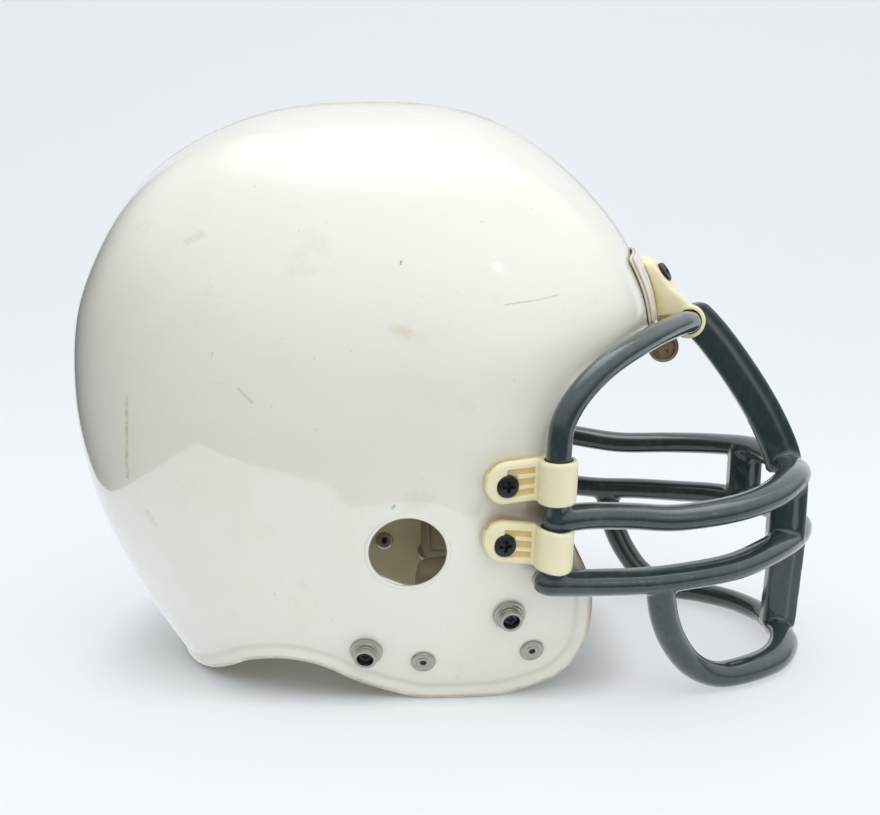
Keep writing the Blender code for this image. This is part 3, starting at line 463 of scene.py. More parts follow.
def swept(grid):
    """Points and faces of a capped tube from its grid of rings."""
    rows, columns = grid.shape[:2]
    points = np.vstack((grid.reshape(-1, 3), grid[0].mean(axis=0), grid[-1].mean(axis=0)))
    faces = grid_faces(rows, columns, False, True).tolist()
    last = (rows - 1) * columns
    for k in range(columns):
        after = (k + 1) % columns
        faces.append((after, k, rows * columns))
        faces.append((last + k, last + after, rows * columns + 1))
    return points, faces


def two_sided(upper, lower):
    """Points and faces of a sheet: an upper and a lower grid, joined along their edges."""
    rows, columns = upper.shape[:2]
    total = rows * columns
    faces = grid_faces(rows, columns).tolist()
    faces += grid_faces(rows, columns, first=total)[:, ::-1].tolist()
    loop = np.concatenate((
        np.arange(columns), np.arange(2 * columns - 1, total, columns),
        np.arange(total - 2, total - columns - 1, -1), np.arange(total - 2 * columns, 0, -columns),
    ))
    after = np.roll(loop, -1)
    faces += np.stack((after, loop, total + loop, total + after), axis=1).tolist()
    return np.vstack((upper.reshape(-1, 3), lower.reshape(-1, 3))), faces


def fused(name, shapes, finish, voxel, rounds):
    """One piece from shapes that overlap: fused on a fine grid, then eased in some rounds, so
    that the joints get their fillets."""
    points, faces, first = [], [], 0
    for shape_points, shape_faces in shapes:
        points.append(shape_points)
        faces += [tuple(index + first for index in face) for face in shape_faces]
        first += len(shape_points)
    piece = new_piece(name, np.vstack(points), faces, finish, 1e-7, 0)
    fuse = piece.modifiers.new("fuse", "REMESH")
    fuse.mode = "VOXEL"
    fuse.voxel_size = voxel
    ease = piece.modifiers.new("ease", "SMOOTH")
    ease.factor = 0.5
    ease.iterations = rounds
    apply_modifiers(piece)
    piece.data.materials.clear()
    piece.data.materials.append(finish_of(finish))
    return piece


def cut_cones(piece, segments, *cones):
    """Cuts cones out of a piece and shades what is left. A cone is its two radii, its depth and
    its matrix."""
    mesh = bpy.data.meshes.new("cones")
    shape = bmesh.new()
    for wide, narrow, depth, matrix in cones:
        bmesh.ops.create_cone(
            shape, cap_ends=True, segments=segments, radius1=wide, radius2=narrow, depth=depth,
            matrix=matrix,
        )
    shape.to_mesh(mesh)
    shape.free()
    cutter = linked("cutter", mesh)
    cut = piece.modifiers.new("cut", "BOOLEAN")
    cut.object = cutter
    cut.solver = "EXACT"
    apply_modifiers(piece)
    bpy.data.objects.remove(cutter, do_unlink=True)
    piece.data.shade_smooth()
    piece.data.set_sharp_from_angle(angle=math.radians(50))


# Shader maths


class Signal:
    """A value inside a material, which can be added, multiplied and compared."""

    def __init__(self, finish, socket):
        self.finish = finish
        self.socket = socket

    def maths(self, operation, other=None, swapped=False):
        values = [self] if other is None else [other, self] if swapped else [self, other]
        return self.finish.node("ShaderNodeMath", {"operation": operation}, values)

    def __add__(self, other):
        return self.maths("ADD", other)

    def __radd__(self, other):
        return self.maths("ADD", other, True)

    def __sub__(self, other):
        return self.maths("SUBTRACT", other)

    def __rsub__(self, other):
        return self.maths("SUBTRACT", other, True)

    def __mul__(self, other):
        return self.maths("MULTIPLY", other)

    def __rmul__(self, other):
        return self.maths("MULTIPLY", other, True)

    def __truediv__(self, other):
        return self.maths("DIVIDE", other)

    def __pow__(self, other):
        return self.maths("POWER", other)

    def size(self):
        return self.maths("ABSOLUTE")

    def between(self, low, high):
        """0 at low and 1 at high, smoothly."""
        settings = {"interpolation_type": "SMOOTHSTEP"}
        return self.finish.node("ShaderNodeMapRange", settings, [self, low, high, 0.0, 1.0])

    def least(self, other):
        return self.maths("MINIMUM", other)

    def most(self, other):
        return self.maths("MAXIMUM", other)


class Finish:
    """A Principled material and the nodes that vary it."""

    def __init__(self, name, roughness=0.4, metallic=0.0, **plain):
        self.material = bpy.data.materials.new(name)
        self.material.use_nodes = True
        self.tree = self.material.node_tree
        self.shader = self.tree.nodes["Principled BSDF"]
        self.set(Roughness=roughness, Metallic=metallic)
        for label, value in plain.items():
            self.shader.inputs[label.replace("_", " ")].default_value = value
        self.place = self.node("ShaderNodeTexCoord", {}, [], "Object")

    def node(self, kind, settings, values, output=0):
        """Any node: its settings first, then its inputs by order or by name."""
        made = self.tree.nodes.new(kind)
        for label, value in settings.items():
            if label == "stops":
                self.stops(made.color_ramp, value)
            else:
                setattr(made, label, value)
        pairs = values.items() if isinstance(values, dict) else enumerate(values)
        for key, value in pairs:
            self.join(made.inputs[key], value)
        return Signal(self, made.outputs[output])

    def join(self, socket, value):
        if isinstance(value, Signal):
            self.tree.links.new(value.socket, socket)
        elif hasattr(value, "__len__") and socket.type == "RGBA":
            socket.default_value = (*value[:3], 1.0)
        else:
            socket.default_value = value

    def stops(self, ramp, stops):
        while len(ramp.elements) < len(stops):
            ramp.elements.new(0.5)
        for element, (place, value) in zip(ramp.elements, stops):
            element.position = place
            element.color = (*value[:3], 1.0)

    def set(self, **values):
        for label, value in values.items():
            self.join(self.shader.inputs[label.replace("_", " ")], value)

    def noise(self, scale, detail=3.0, rough=0.5, place=None, distortion=0.0):
        values = {
            "Vector": place or self.place, "Scale": scale, "Detail": detail,
            "Roughness": rough, "Distortion": distortion,
        }
        return self.node("ShaderNodeTexNoise", {}, values, "Fac")

    def cells(self, scale):
        values = {"Vector": self.place, "Scale": scale}
        return self.node("ShaderNodeTexVoronoi", {"feature": "F1"}, values, "Distance")

    def stretched(self, scale, turn=(0.0, 0.0, 0.0)):
        """The place, scaled unevenly and turned, for marks that run one way."""
        return self.node(
            "ShaderNodeMapping", {}, {"Vector": self.place, "Scale": scale, "Rotation": turn}
        )

    def axis(self, number):
        parts = self.node("ShaderNodeSeparateXYZ", {}, [self.place])
        return Signal(self, parts.socket.node.outputs[number])

    def mix(self, factor, first, second):
        settings = {"data_type": "RGBA"}
        return self.node("ShaderNodeMix", settings, {0: factor, 6: first, 7: second}, 2)

    def over(self, mask, base, *values):
        """The base with a colour, given as on screen, laid over it by the mask."""
        return self.mix(mask, base, rgb(*values))

    def value(self, name):
        return self.node("ShaderNodeAttribute", {"attribute_name": name}, [], "Fac")

    def bump(self, height, distance, strength=1.0):
        values = {"Height": height, "Distance": distance, "Strength": strength}
        return self.node("ShaderNodeBump", {}, values)


def stroke(finish, start, end, width):
    """A mask along a wavering line of the side view: near 1 within width of it, on the right."""
    waver = (finish.noise(60.0, 2.0, 0.5) - 0.5) * 0.0030
    x, z = finish.axis(0) + waver - start[0], finish.axis(2) - waver * 0.5 - start[1]
    reach = math.dist(start, end)
    run_x, run_z = (end[0] - start[0]) / reach, (end[1] - start[1]) / reach
    past = (x * run_x + z * run_z - reach / 2).size() - reach / 2
    gap = (z * run_x - x * run_z).size().most(past)
    return (1.0 - gap.between(width * 0.3, width)) * (0.0 - finish.axis(1)).between(0.0, 0.002)


# Marks on the near side: from, to, width, colour and weight
MARKS = (
    ((-0.1352, 0.1365), (-0.1385, 0.1010), 0.0011, (186, 152, 100), 0.50),
    ((-0.0845, 0.1431), (-0.0796, 0.1384), 0.0010, (186, 166, 134), 0.40),
    ((0.0214, 0.1761), (0.0446, 0.1793), 0.0005, (162, 158, 146), 0.45),
    ((-0.0236, 0.0947), (-0.0228, 0.0958), 0.0009, (92, 184, 186), 0.90),
    ((-0.0206, 0.1930), (-0.0204, 0.1938), 0.0006, (30, 28, 26), 0.95),
    ((-0.0230, 0.1680), (-0.0180, 0.1660), 0.0030, (214, 198, 164), 0.35),
    ((-0.1080, 0.2010), (-0.1020, 0.2040), 0.0022, (214, 200, 170), 0.40),
    ((-0.1300, 0.0860), (-0.1270, 0.0800), 0.0016, (206, 188, 150), 0.35),
)


def shell_finish():
    c = colours()
    finish = Finish("shell_polycarbonate", 0.16, Coat_Weight=1.0, Coat_Roughness=0.03, Coat_IOR=1.6)
    x, y, z = (finish.axis(k) for k in range(3))
    cloud = finish.noise(14.0, 4.0, 0.55)
    # Mixed towards the yellowed colour in random clouds, and darker and yellower within 5 cm of the
    # floor, towards the bottom
    low = 1.0 - z.between(0.0, 0.05)
    tone_and_low_band = (cloud.between(0.45, 0.75) * 0.35 + low * 0.30).least(1.0)
    smudge = finish.noise(38.0, 5.0, 0.6).between(0.60, 0.76) * 0.16
    scuffs = finish.noise(60.0, 6.0, 0.7, finish.stretched((1.0, 1.0, 9.0), (0.4, 0.2, 0.7)))
    scuffs = scuffs.between(0.66, 0.74)
    specks = finish.noise(620.0, 1.0, 0.5).between(0.77, 0.81)
    base = finish.mix(tone_and_low_band, c.shell, c.shell_aged)
    base = finish.over(smudge, base, 196, 178, 140)
    base = finish.over(scuffs * 0.22, base, 170, 160, 140)
    base = finish.over(specks * 0.30, base, 150, 122, 88)
    edge = finish.value("edge")
    rim = 1.0 - edge.between(0.0030, 0.0075)
    groove = edge.between(0.0048, 0.0072) - edge.between(0.0072, 0.0100)
    grime = (1.0 - edge.between(0.0008, 0.0036)) * finish.noise(55.0, 3.0, 0.6).between(0.25, 0.60)
    base = finish.mix(rim * 0.25, base, c.shell_aged)
    # Painted shade in the groove past the rim band
    base = finish.over(groove.most(0.0) * 0.20, base, 150, 138, 112)
    base = finish.over(grime * 0.65, base, 136, 96, 60)
    # Painted contact shadow, partly grime, in brown on the shell between the side straps, which the
    # photograph shows there
    strap_shadow_and_grime = (1.0 - (z - 0.0912).size().between(0.0, 0.010)) * x.between(0.004, 0.026)
    strap_shadow_and_grime = strap_shadow_and_grime * (1.0 - x.between(0.034, 0.050))
    base = finish.over(strap_shadow_and_grime * 0.72, base, 128, 96, 58)
    seam = 1.0 - y.size().between(0.0004, 0.0009)
    shoulder = 1.0 - (y.size() - 0.0078).size().between(0.0004, 0.0012)
    shoulder = shoulder * z.between(0.165, 0.185)
    base = finish.over(seam.most(shoulder) * 0.55, base, 196, 176, 140)
    broken = finish.noise(320.0, 4.0, 0.7).between(0.22, 0.66)
    for start, end, width, shade, weight in MARKS:
        base = finish.over(stroke(finish, start, end, width) * broken * weight, base, *shade)
    inside = finish.value("inside")
    dust = finish.noise(120.0, 4.0, 0.6).between(0.35, 0.75)
    dull = finish.over(dust * 0.4, c.shell_inside, 172, 160, 130)
    # The inside also glows a little in its own colour: painted light that brightens the inner wall
    # seen through the ear holes
    finish.set(Base_Color=finish.mix(inside, base, dull), Emission_Strength=0.10)
    finish.set(Emission_Color=finish.mix(inside, (0.0, 0.0, 0.0), c.shell_inside))
    scratch = finish.noise(90.0, 3.0, 0.6, finish.stretched((1.0, 1.0, 30.0), (0.2, 0.9, 0.3)))
    scratch = scratch.between(0.64, 0.70)
    rough = 0.13 + cloud * 0.10 + scratch * 0.10 + smudge * 0.8 + scuffs * 0.25
    finish.set(Roughness=(rough + inside * 0.45).least(1.0))
    peel = finish.noise(420.0, 2.0, 0.5) * 0.10 + scratch * -0.12 + seam * 0.9
    finish.set(Normal=finish.bump(peel, 0.0002, 0.5))
    return finish.material


def guard_finish():
    c = colours()
    finish = Finish(
        "guard_plastic", 0.3, Coat_Weight=1.0, Coat_Roughness=0.045, Coat_IOR=1.56,
        Specular_IOR_Level=0.24,
    )
    cloud = finish.noise(60.0, 5.0, 0.6)
    grain = finish.noise(900.0, 3.0, 0.5)
    rub = finish.noise(160.0, 6.0, 0.7, finish.stretched((1.0, 0.35, 1.0))).between(0.58, 0.78)
    mottle = finish.noise(230.0, 5.0, 0.65, finish.stretched((1.0, 1.0, 0.6))).between(0.48, 0.72)
    base = finish.mix(rub * 0.40 + cloud * 0.12 + mottle * 0.26, c.guard, c.guard_worn)
    nick = finish.noise(420.0, 4.0, 0.8).between(0.75, 0.80)
    base = finish.over(nick * 0.5, base, 160, 170, 174)
    finish.set(Base_Color=base, Roughness=0.26 + cloud * 0.12 + rub * 0.12)
    finish.set(Normal=finish.bump(grain * 0.2 + rub * 0.3 - nick * 0.5, 0.00015, 0.35))
    return finish.material


def strap_finish():
    c = colours()
    finish = Finish(
        "strap_nylon", 0.36, Subsurface_Weight=0.12, Subsurface_Radius=(0.004, 0.0028, 0.0012)
    )
    # The recess value mixes in the recess colour: yellowed nylon in the side straps' pockets, and
    # painted shade low on the straps' sides next to the shell
    deep = finish.value("recess")
    cloud = finish.noise(140.0, 4.0, 0.6)
    base = finish.mix((deep * 0.85 + cloud * 0.25).least(1.0), c.strap, c.strap_deep)
    speck = finish.noise(700.0, 3.0, 0.7).between(0.70, 0.76)
    base = finish.over(speck * 0.35, base, 150, 128, 84)
    finish.set(Base_Color=base, Roughness=0.32 + cloud * 0.14)
    finish.set(Normal=finish.bump(finish.noise(500.0, 3.0, 0.6), 0.00012, 0.35))
    return finish.material


def screw_finish():
    finish = Finish("screw_black", 0.38, 0.55)
    wear = finish.noise(900.0, 5.0, 0.7).between(0.50, 0.75)
    base = finish.over(wear * 0.5, colours().screw, 98, 100, 98)
    finish.set(Base_Color=base, Roughness=0.30 + wear * 0.25)
    finish.set(Normal=finish.bump(finish.noise(1500.0, 3.0, 0.6), 0.00008, 0.4))
    return finish.material


def metal_finish():
    finish = Finish("fastener_metal", 0.3, 1.0)
    cloud = finish.noise(420.0, 5.0, 0.7)
    stain = finish.noise(700.0, 5.0, 0.8).between(0.55, 0.75)
    base = finish.over(stain * 0.55, colours().metal, 112, 106, 92)
    finish.set(Base_Color=base, Roughness=0.22 + cloud * 0.22 + stain * 0.2)
    finish.set(Metallic=1.0 - stain * 0.35)
    finish.set(Normal=finish.bump(cloud, 0.00006, 0.5))
    return finish.material


def plate_finish():
    c = colours()
    finish = Finish(
        "plate_plastic", 0.3, Subsurface_Weight=0.1, Subsurface_Radius=(0.003, 0.003, 0.002)
    )
    cloud = finish.noise(110.0, 4.0, 0.6)
    base = finish.mix(cloud * 0.3, c.plate, c.shell_aged)
    edge = finish.value("edge").between(0.2, 1.0)
    base = finish.over(edge * 0.5, base, 178, 140, 104)
    finish.set(Base_Color=base, Roughness=0.24 + cloud * 0.12)
    finish.set(Normal=finish.bump(cloud, 0.00015, 0.3))
    return finish.material


def roll_finish():
    finish = Finish(
        "roll_vinyl", 0.34, Subsurface_Weight=0.25, Subsurface_Radius=(0.004, 0.002, 0.001)
    )
    cloud = finish.noise(220.0, 4.0, 0.6)
    base = finish.over(cloud * 0.4, colours().roll, 150, 128, 110)
    spots = finish.noise(420.0, 3.0, 0.7).between(0.48, 0.62)
    heart = finish.over(spots, rgb(168, 142, 118), 124, 94, 72)
    base = finish.mix(finish.value("core"), base, heart)
    finish.set(Base_Color=base, Roughness=0.28 + cloud * 0.2)
    finish.set(Normal=finish.bump(finish.noise(340.0, 4.0, 0.6), 0.0002, 0.4))
    return finish.material


def pad_finish():
    finish = Finish("pad_vinyl", 0.55, Sheen_Weight=0.15)
    cloud = finish.noise(70.0, 4.0, 0.6)
    leather = finish.cells(900.0)
    base = finish.over(cloud * 0.5, colours().pad, 140, 131, 110)
    base = finish.over(finish.value("seam") * 0.45, base, 96, 88, 72)
    finish.set(Base_Color=base, Roughness=0.48 + cloud * 0.16)
    finish.set(Normal=finish.bump(leather * 0.5 + cloud, 0.0004, 0.5))
    return finish.material


FINISHERS = {
    "shell": shell_finish, "guard": guard_finish, "strap": strap_finish, "screw": screw_finish,
    "metal": metal_finish, "plate": plate_finish, "roll": roll_finish, "pad": pad_finish,
}
finishes = {}


def finish_of(name):
    """Each finish is made once, when its first piece asks for it."""
    if name not in finishes:
        finishes[name] = FINISHERS[name]()
    return finishes[name]


def fit(item, finish, body, *nodes):
    """Sets a piece on its body, in place of its nodes."""
    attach(item, body)
    if nodes:
        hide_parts(*nodes)


# Shell


def edge_directions(count):
    """Directions of the near half's edge, from the nape's middle to the brow's middle, at
    equal distances: the edge table's route, cut off where it leaves the shell's outline."""
    s = sizes()
    line = smooth_route(EDGE_SHARES, 24)
    line[:, 1] = np.maximum(0.0, line[:, 1])
    lead = np.linspace((-0.6, line[0, 1]), line[0], 80)[:-1]
    tail = np.linspace(line[-1], (0.6, line[-1, 1]), 80)[1:]
    line = np.vstack((lead, line, tail))
    across = line[:, 0] - s.centre_x
    up = line[:, 1] - s.centre_z
    fill = np.hypot(across, up) / radius_share(np.arctan2(up, across))
    inside = np.flatnonzero(fill < 1.0)
    first, last = inside[0], inside[-1]
    start, end = (
        np.array([
            np.interp(1.0, (fill[on], fill[off]), (line[on, k], line[off, k])) for k in (0, 1)
        ])
        for on, off in ((first, first - 1), (last, last + 1))
    )
    line = np.vstack((start, line[first : last + 1], end))
    direction = side_direction(ahead(line[:, 0]), line[:, 1] * s.shell_height, -1)
    direction[[0, -1], 1] = 0.0
    return unit(evenly(unit(direction), shell_toward(direction), count))


def slerp(first, second, part):
    """Great-circle steps from first to second."""
    turn = np.arccos(np.clip(np.sum(first * second, axis=-1, keepdims=True), -1.0, 1.0))
    return (np.sin((1 - part) * turn) * first + np.sin(part * turn) * second) / np.sin(turn)


def shell_grid(half_count=230, rings=74):
    """Directions from the whole edge up to a pole over the back of the crown, with close rings
    along the edge, and each one's distance from the edge."""
    near = edge_directions(half_count)
    far = near[-2:0:-1] * (1, -1, 1)
    loop = np.vstack((near, far))
    pole = toward(math.radians(120), 1.0, 0.0)
    turn = np.arccos(np.clip(loop @ pole, -1.0, 1.0))
    close = (0.0, 0.2, 0.5, 0.9, 1.4, 2.2, 3.2, 4.2, 4.9, 5.4, 5.9, 6.4, 7.0, 8.0, 9.6)
    close = np.array(close) / 1000
    start = close[None] / (0.13 * turn)[:, None]
    rest = start[:, -1:] + (1 - start[:, -1:]) * np.linspace(0, 1, rings)[None, 1:-1]
    part = np.hstack((start, rest)).T[..., None]
    direction = slerp(loop[None], np.broadcast_to(pole, loop.shape)[None], part)
    edge = shell_toward(loop)
    points = shell_toward(direction).reshape(-1, 3)
    gap = np.empty(len(points))
    for block in np.array_split(np.arange(len(points)), 24):
        gap[block] = np.min(np.linalg.norm(points[block, None] - edge[None], axis=-1), axis=1)
    return direction, pole, gap.reshape(direction.shape[:2])


def shell_piece():
    """The moulded shell: outer and inner surfaces a wall apart, a half-round lip along the edge,
    a raised rim band with a groove past it, lower ground beside the rib along the middle, and a
    low boss round each ear hole. The lip and the rest are heights along the normal."""
    s = sizes()
    direction, pole, gap = shell_grid()
    gap[0] = 0.0
    surface = shell_toward(direction)
    normal = shell_normals(direction)
    lip = s.shell_wall / 2
    sunk = lip * (1 - quarter(gap / lip))
    band = s.rim_height * fade(s.rim_width * 0.60, s.rim_width * 1.25, gap)
    from_groove = (gap - 1.38 * s.rim_width) / (0.34 * s.rim_width)
    groove = 0.34 * s.rim_height * np.exp(-(from_groove**2))
    aside = np.abs(surface[..., 1])
    beside = smoothstep(s.rib_half, s.rib_half + 0.0016, aside) * fade(0.022, 0.062, aside)
    upper = smoothstep(0.62, 0.76, surface[..., 2] / s.shell_height)
    dip = s.rib_height * beside * upper * smoothstep(0.006, 0.012, gap)
    ear_x, ear_z = ahead(EAR_SHARES[0]), EAR_SHARES[1] * s.shell_height
    from_ear = np.hypot(surface[..., 0] - ear_x, surface[..., 2] - ear_z)
    boss = s.boss_height * fade(s.boss_radius * 0.80, s.boss_radius * 1.12, from_ear)
    height = band - groove + boss - sunk - dip
    height[0] = -lip
    outer = surface + height[..., None] * normal
    inner_depth = s.shell_wall - sunk
    inner_depth[0] = lip
    inner = surface - inner_depth[..., None] * normal
    rows, columns = gap.shape
    pole_point = shell_toward(pole[None])
    pole_normal = shell_normals(pole[None])
    poles = (pole_point, pole_point - s.shell_wall * pole_normal)
    points = np.vstack((outer.reshape(-1, 3), inner.reshape(-1, 3), *poles))
    total = rows * columns
    faces = grid_faces(rows, columns, False, True).tolist()
    faces += grid_faces(rows, columns, False, True, total)[:, ::-1].tolist()
    last = (rows - 1) * columns
    for k in range(columns):
        after = (k + 1) % columns
        faces.append((last + k, last + after, 2 * total))
        faces.append((total + last + after, total + last + k, 2 * total + 1))
    flat = np.concatenate((gap.ravel(), gap.ravel(), (1.0, 1.0)))
    inside = np.concatenate((np.zeros(total), np.ones(total), (0.0, 1.0)))
    inside[:columns] = 0.0
    inside[total : total + columns] = 0.0
    attributes = {"edge": flat, "inside": inside}
    shell = new_piece("moulded_shell", points, faces, "shell", 1e-6, 0, attributes)
    reach = 0.020
    middle = (s.ear_radius - reach) / 2
    cut_cones(shell, 128, *(
        (s.ear_radius + reach, 0.0, reach + s.ear_radius, lifted(seat(EAR_SHARES, side), middle))
        for side in SIDES
    ))
    fit(shell, "shell", "helmet", "shell")


def ear_lip(side):
    """The rounded lip of an ear hole: a small round section carried round its edge, on the
    shell's surface."""
    s = sizes()
    steps, bead, count = 160, 0.0009, 20
    place = np.array(seat(EAR_SHARES, side))
    up = place[:3, 2]
    ring = circle(steps) @ place[:3, :2].T
    guess = place[:3, 3] + (s.ear_radius + 0.0001) * ring
    surface = shell_toward(side_direction(guess[:, 0], guess[:, 2], side))
    centre_line = guess + ((surface - guess) @ up)[:, None] * up
    out, rise = (bead * circle(count)[None, :, k, None] for k in (0, 1))
    grid = centre_line[:, None] + out * ring[:, None] + (s.boss_height - 0.0004 + rise) * up
    attributes = {"edge": np.ones(steps * count), "inside": np.zeros(steps * count)}
    piece = new_piece(
        f"ear_lip_{SIDES[side]}", grid.reshape(-1, 3), grid_faces(steps, count, True, True),
        "shell", 1e-7, 0, attributes,
    )
    fit(piece, "shell", "helmet")


# Straps' frames

# Gaps between what lies on the shell, and inside it
SEAT = 0.0005
GAP = 0.0003
INNER_GAP = 0.0016
# Where the side straps sit, how far forward of that their bar is and how far back their screw;
# then the brow straps' height share, bar, distance aside and lift off the shell
STRAP_SHARE = 0.116
STRAP_Z = 0.0916
STRAP_REACH = 0.0107
STRAP_BACK = 0.0095
BROW_STRAP_SHARE = 0.700
BROW_REACH = 0.0272
BROW_ASIDE = 0.0142
BROW_LIFT = 0.0018 + 2 * SEAT + GAP
# What a loop's outer radius adds to the bar's, what its bore's adds, and its pocket's depth
LOOP_ROOM = 0.0004
LOOP_WALL = 0.0024
BORE_ROOM = 0.0007
POCKET = 0.0012


def strap_frames():
    """Frames of the side straps by side, of the brow straps, and of the shell below these: Z off
    the shell, X to the bar."""
    s = sizes()
    found = {}
    for side in SIDES:
        direction = side_direction(ahead(STRAP_SHARE), STRAP_Z, side)
        normal = Vector(shell_normals(direction))
        forward = Vector((0, 0, -side)).cross(normal)
        found[side] = lifted(frame_at(shell_toward(direction), normal, forward), SEAT)
    angle = math.asin((BROW_STRAP_SHARE - s.centre_z) / RADIUS_SHARES[1])
    point = shell_toward(brow_direction(np.array(angle), np.array(BROW_ASIDE)))
    normal = shell_normals(toward(angle, 1.0, 0.0))
    brow = frame_at((point[0], 0.0, point[2]), normal, (0, 0, -1))
    return found, lifted(brow, BROW_LIFT), brow


def loop_reach():
    """A loop's outer radius, which is also the bar's distance from the strap's seat."""
    return sizes().post_radius + LOOP_ROOM + LOOP_WALL


def post_at(z):
    """The near post's centre at a height."""
    near = strap_frames()[0][-1]
    middle = near @ Vector((STRAP_REACH, 0, loop_reach()))
    axis = near.to_3x3() @ Vector((0, 1, 0))
    return np.array(middle + axis * (z - middle.z) / axis.z)


def crossbar_at():
    return np.array(strap_frames()[1] @ Vector((BROW_REACH, 0, loop_reach())))


# Face guard

# Routes of the near half. The bars' rows are shares of the reach forward from the post, of its
# distance aside and of the shell's height; the loop's last is a share of the low bar's height.
# The brow bar's are shares of the way from the crossbar to the post's top, and the nose strut's
# of the ways forward and down from the crossbar to the upper bar.
UPPER_BAR_SHARES = (
    (0.110, 0.930, -0.001), (0.260, 0.855, -0.009), (0.420, 0.805, -0.0168), (0.620, 0.725, -0.011),
    (0.780, 0.580, -0.002), (0.895, 0.380, 0.007), (0.955, 0.180, 0.006), (0.968, 0.000, 0.004),
)
LOWER_BAR_SHARES = (
    (0.110, 0.940, -0.007), (0.320, 0.865, -0.013), (0.500, 0.800, -0.010), (0.660, 0.700, -0.006),
    (0.815, 0.530, 0.003), (0.925, 0.335, 0.005), (0.985, 0.150, 0.006), (1.000, 0.000, 0.006),
)
JAW_LOOP_SHARES = (
    (0.372, 0.850, 0.930), (0.400, 0.805, 0.640), (0.448, 0.755, 0.410), (0.520, 0.700, 0.220),
    (0.620, 0.640, 0.110), (0.755, 0.550, 0.1), (0.872, 0.410, 0.1), (0.950, 0.200, 0.1),
    (0.968, 0.000, 0.1),
)
BROW_BAR_SHARES = (
    (0.000, 0.000, 0.000), (0.110, 0.160, 0.000), (0.380, 0.510, 0.070), (0.670, 0.800, 0.230),
    (0.870, 0.945, 0.460), (0.980, 1.000, 0.720), (1.000, 1.000, 1.000),
)
NOSE_SHARES = (
    (0.060, 0.060), (0.300, -0.130), (0.560, -0.390), (0.780, -0.650), (0.930, -0.880),
    (0.985, -1.020),
)
GUARD_REACH = 0.1273
STRUT_SPREAD = 0.040
POST_TOP_Z = 0.116
HIGH_BAR_Z = 0.0888
LOW_BAR_Z = 0.0611


def mirrored(half):
    """A route whose near half is given, carried on over the midplane."""
    return np.vstack((half, half[-2::-1] * (1, -1, 1)))


def guard_routes(steps=14):
    """Routes of the brow bar with its posts, both bars and the jaw loop, over both sides."""
    s = sizes()
    cross, top = crossbar_at(), post_at(POST_TOP_Z)
    high, low = post_at(HIGH_BAR_Z), post_at(LOW_BAR_Z)
    start = np.array((cross[0], -0.024, cross[2]))
    curved = smooth_route(start + np.array(BROW_BAR_SHARES) * (top - start), steps)[::-1]
    foot = np.linspace(low, top, 24)[:-1]
    middle = np.linspace(start, (cross[0], 0.0, cross[2]), 12)[1:]
    routes = {"brow": mirrored(np.vstack((foot, curved, middle)))}
    for name, end, shares, past in (
        ("upper", high, UPPER_BAR_SHARES, 0.0030), ("lower", low, LOWER_BAR_SHARES, 0.0075),
    ):
        bar = end * (1, 0, 1) + np.array(shares) * (GUARD_REACH, end[1], s.shell_height)
        bar = np.vstack((end - (past, 0, 0), end, bar))
        routes[name] = mirrored(smooth_route(bar, steps))
    jaw = np.array(JAW_LOOP_SHARES) * (GUARD_REACH, low[1], LOW_BAR_Z) + (low[0], 0, 0)
    jaw[:, 2] = np.maximum(jaw[:, 2], s.loop_radius - 0.0002)
    routes["jaw"] = mirrored(smooth_route(jaw, steps))
    return routes


def round_section(rows, radius, columns=40):
    """Circles, one to a row; radius is one value or one to a row."""
    radius = np.broadcast_to(np.asarray(radius, float).reshape(-1, 1, 1), (rows, 1, 1))
    return radius * circle(columns)[None]


def lens_section(depth, height, columns=56):
    """A lens: height falls off as a power of the distance from the middle, so that a soft ridge
    runs along its front and its back. Depth and height have one value to a row."""
    across, up = circle(columns).T
    rise = np.sign(up) * np.abs(up) ** 0.86 * (1 - 0.10 * across**2)
    return np.stack((depth[:, None] * across[None], height[:, None] * rise[None]), axis=-1)


def plate_section(rows, half_depth, half_thickness):
    """A flanged bar: full thickness along one edge, thinner past a step, its corners rounded."""
    web, step, past = 0.70, 0.28, 0.36
    corners = (
        (-1, -1), (-1, 1), (step, 1), (past, web), (1, web), (1, -web), (past, -web), (step, -1),
    )
    ring = rounded(np.array(corners) * (half_depth, half_thickness), 0.0013, 4, True)
    return np.broadcast_to(ring, (rows, *ring.shape)).copy()


def ends_in(rows, start, full):
    """1 along a route but for its two ends, which ease in from start over full of its rows."""
    place = np.linspace(0, 1, rows)
    place = np.minimum(place, 1 - place)
    return start + (1 - start) * smoothstep(0, full, place)


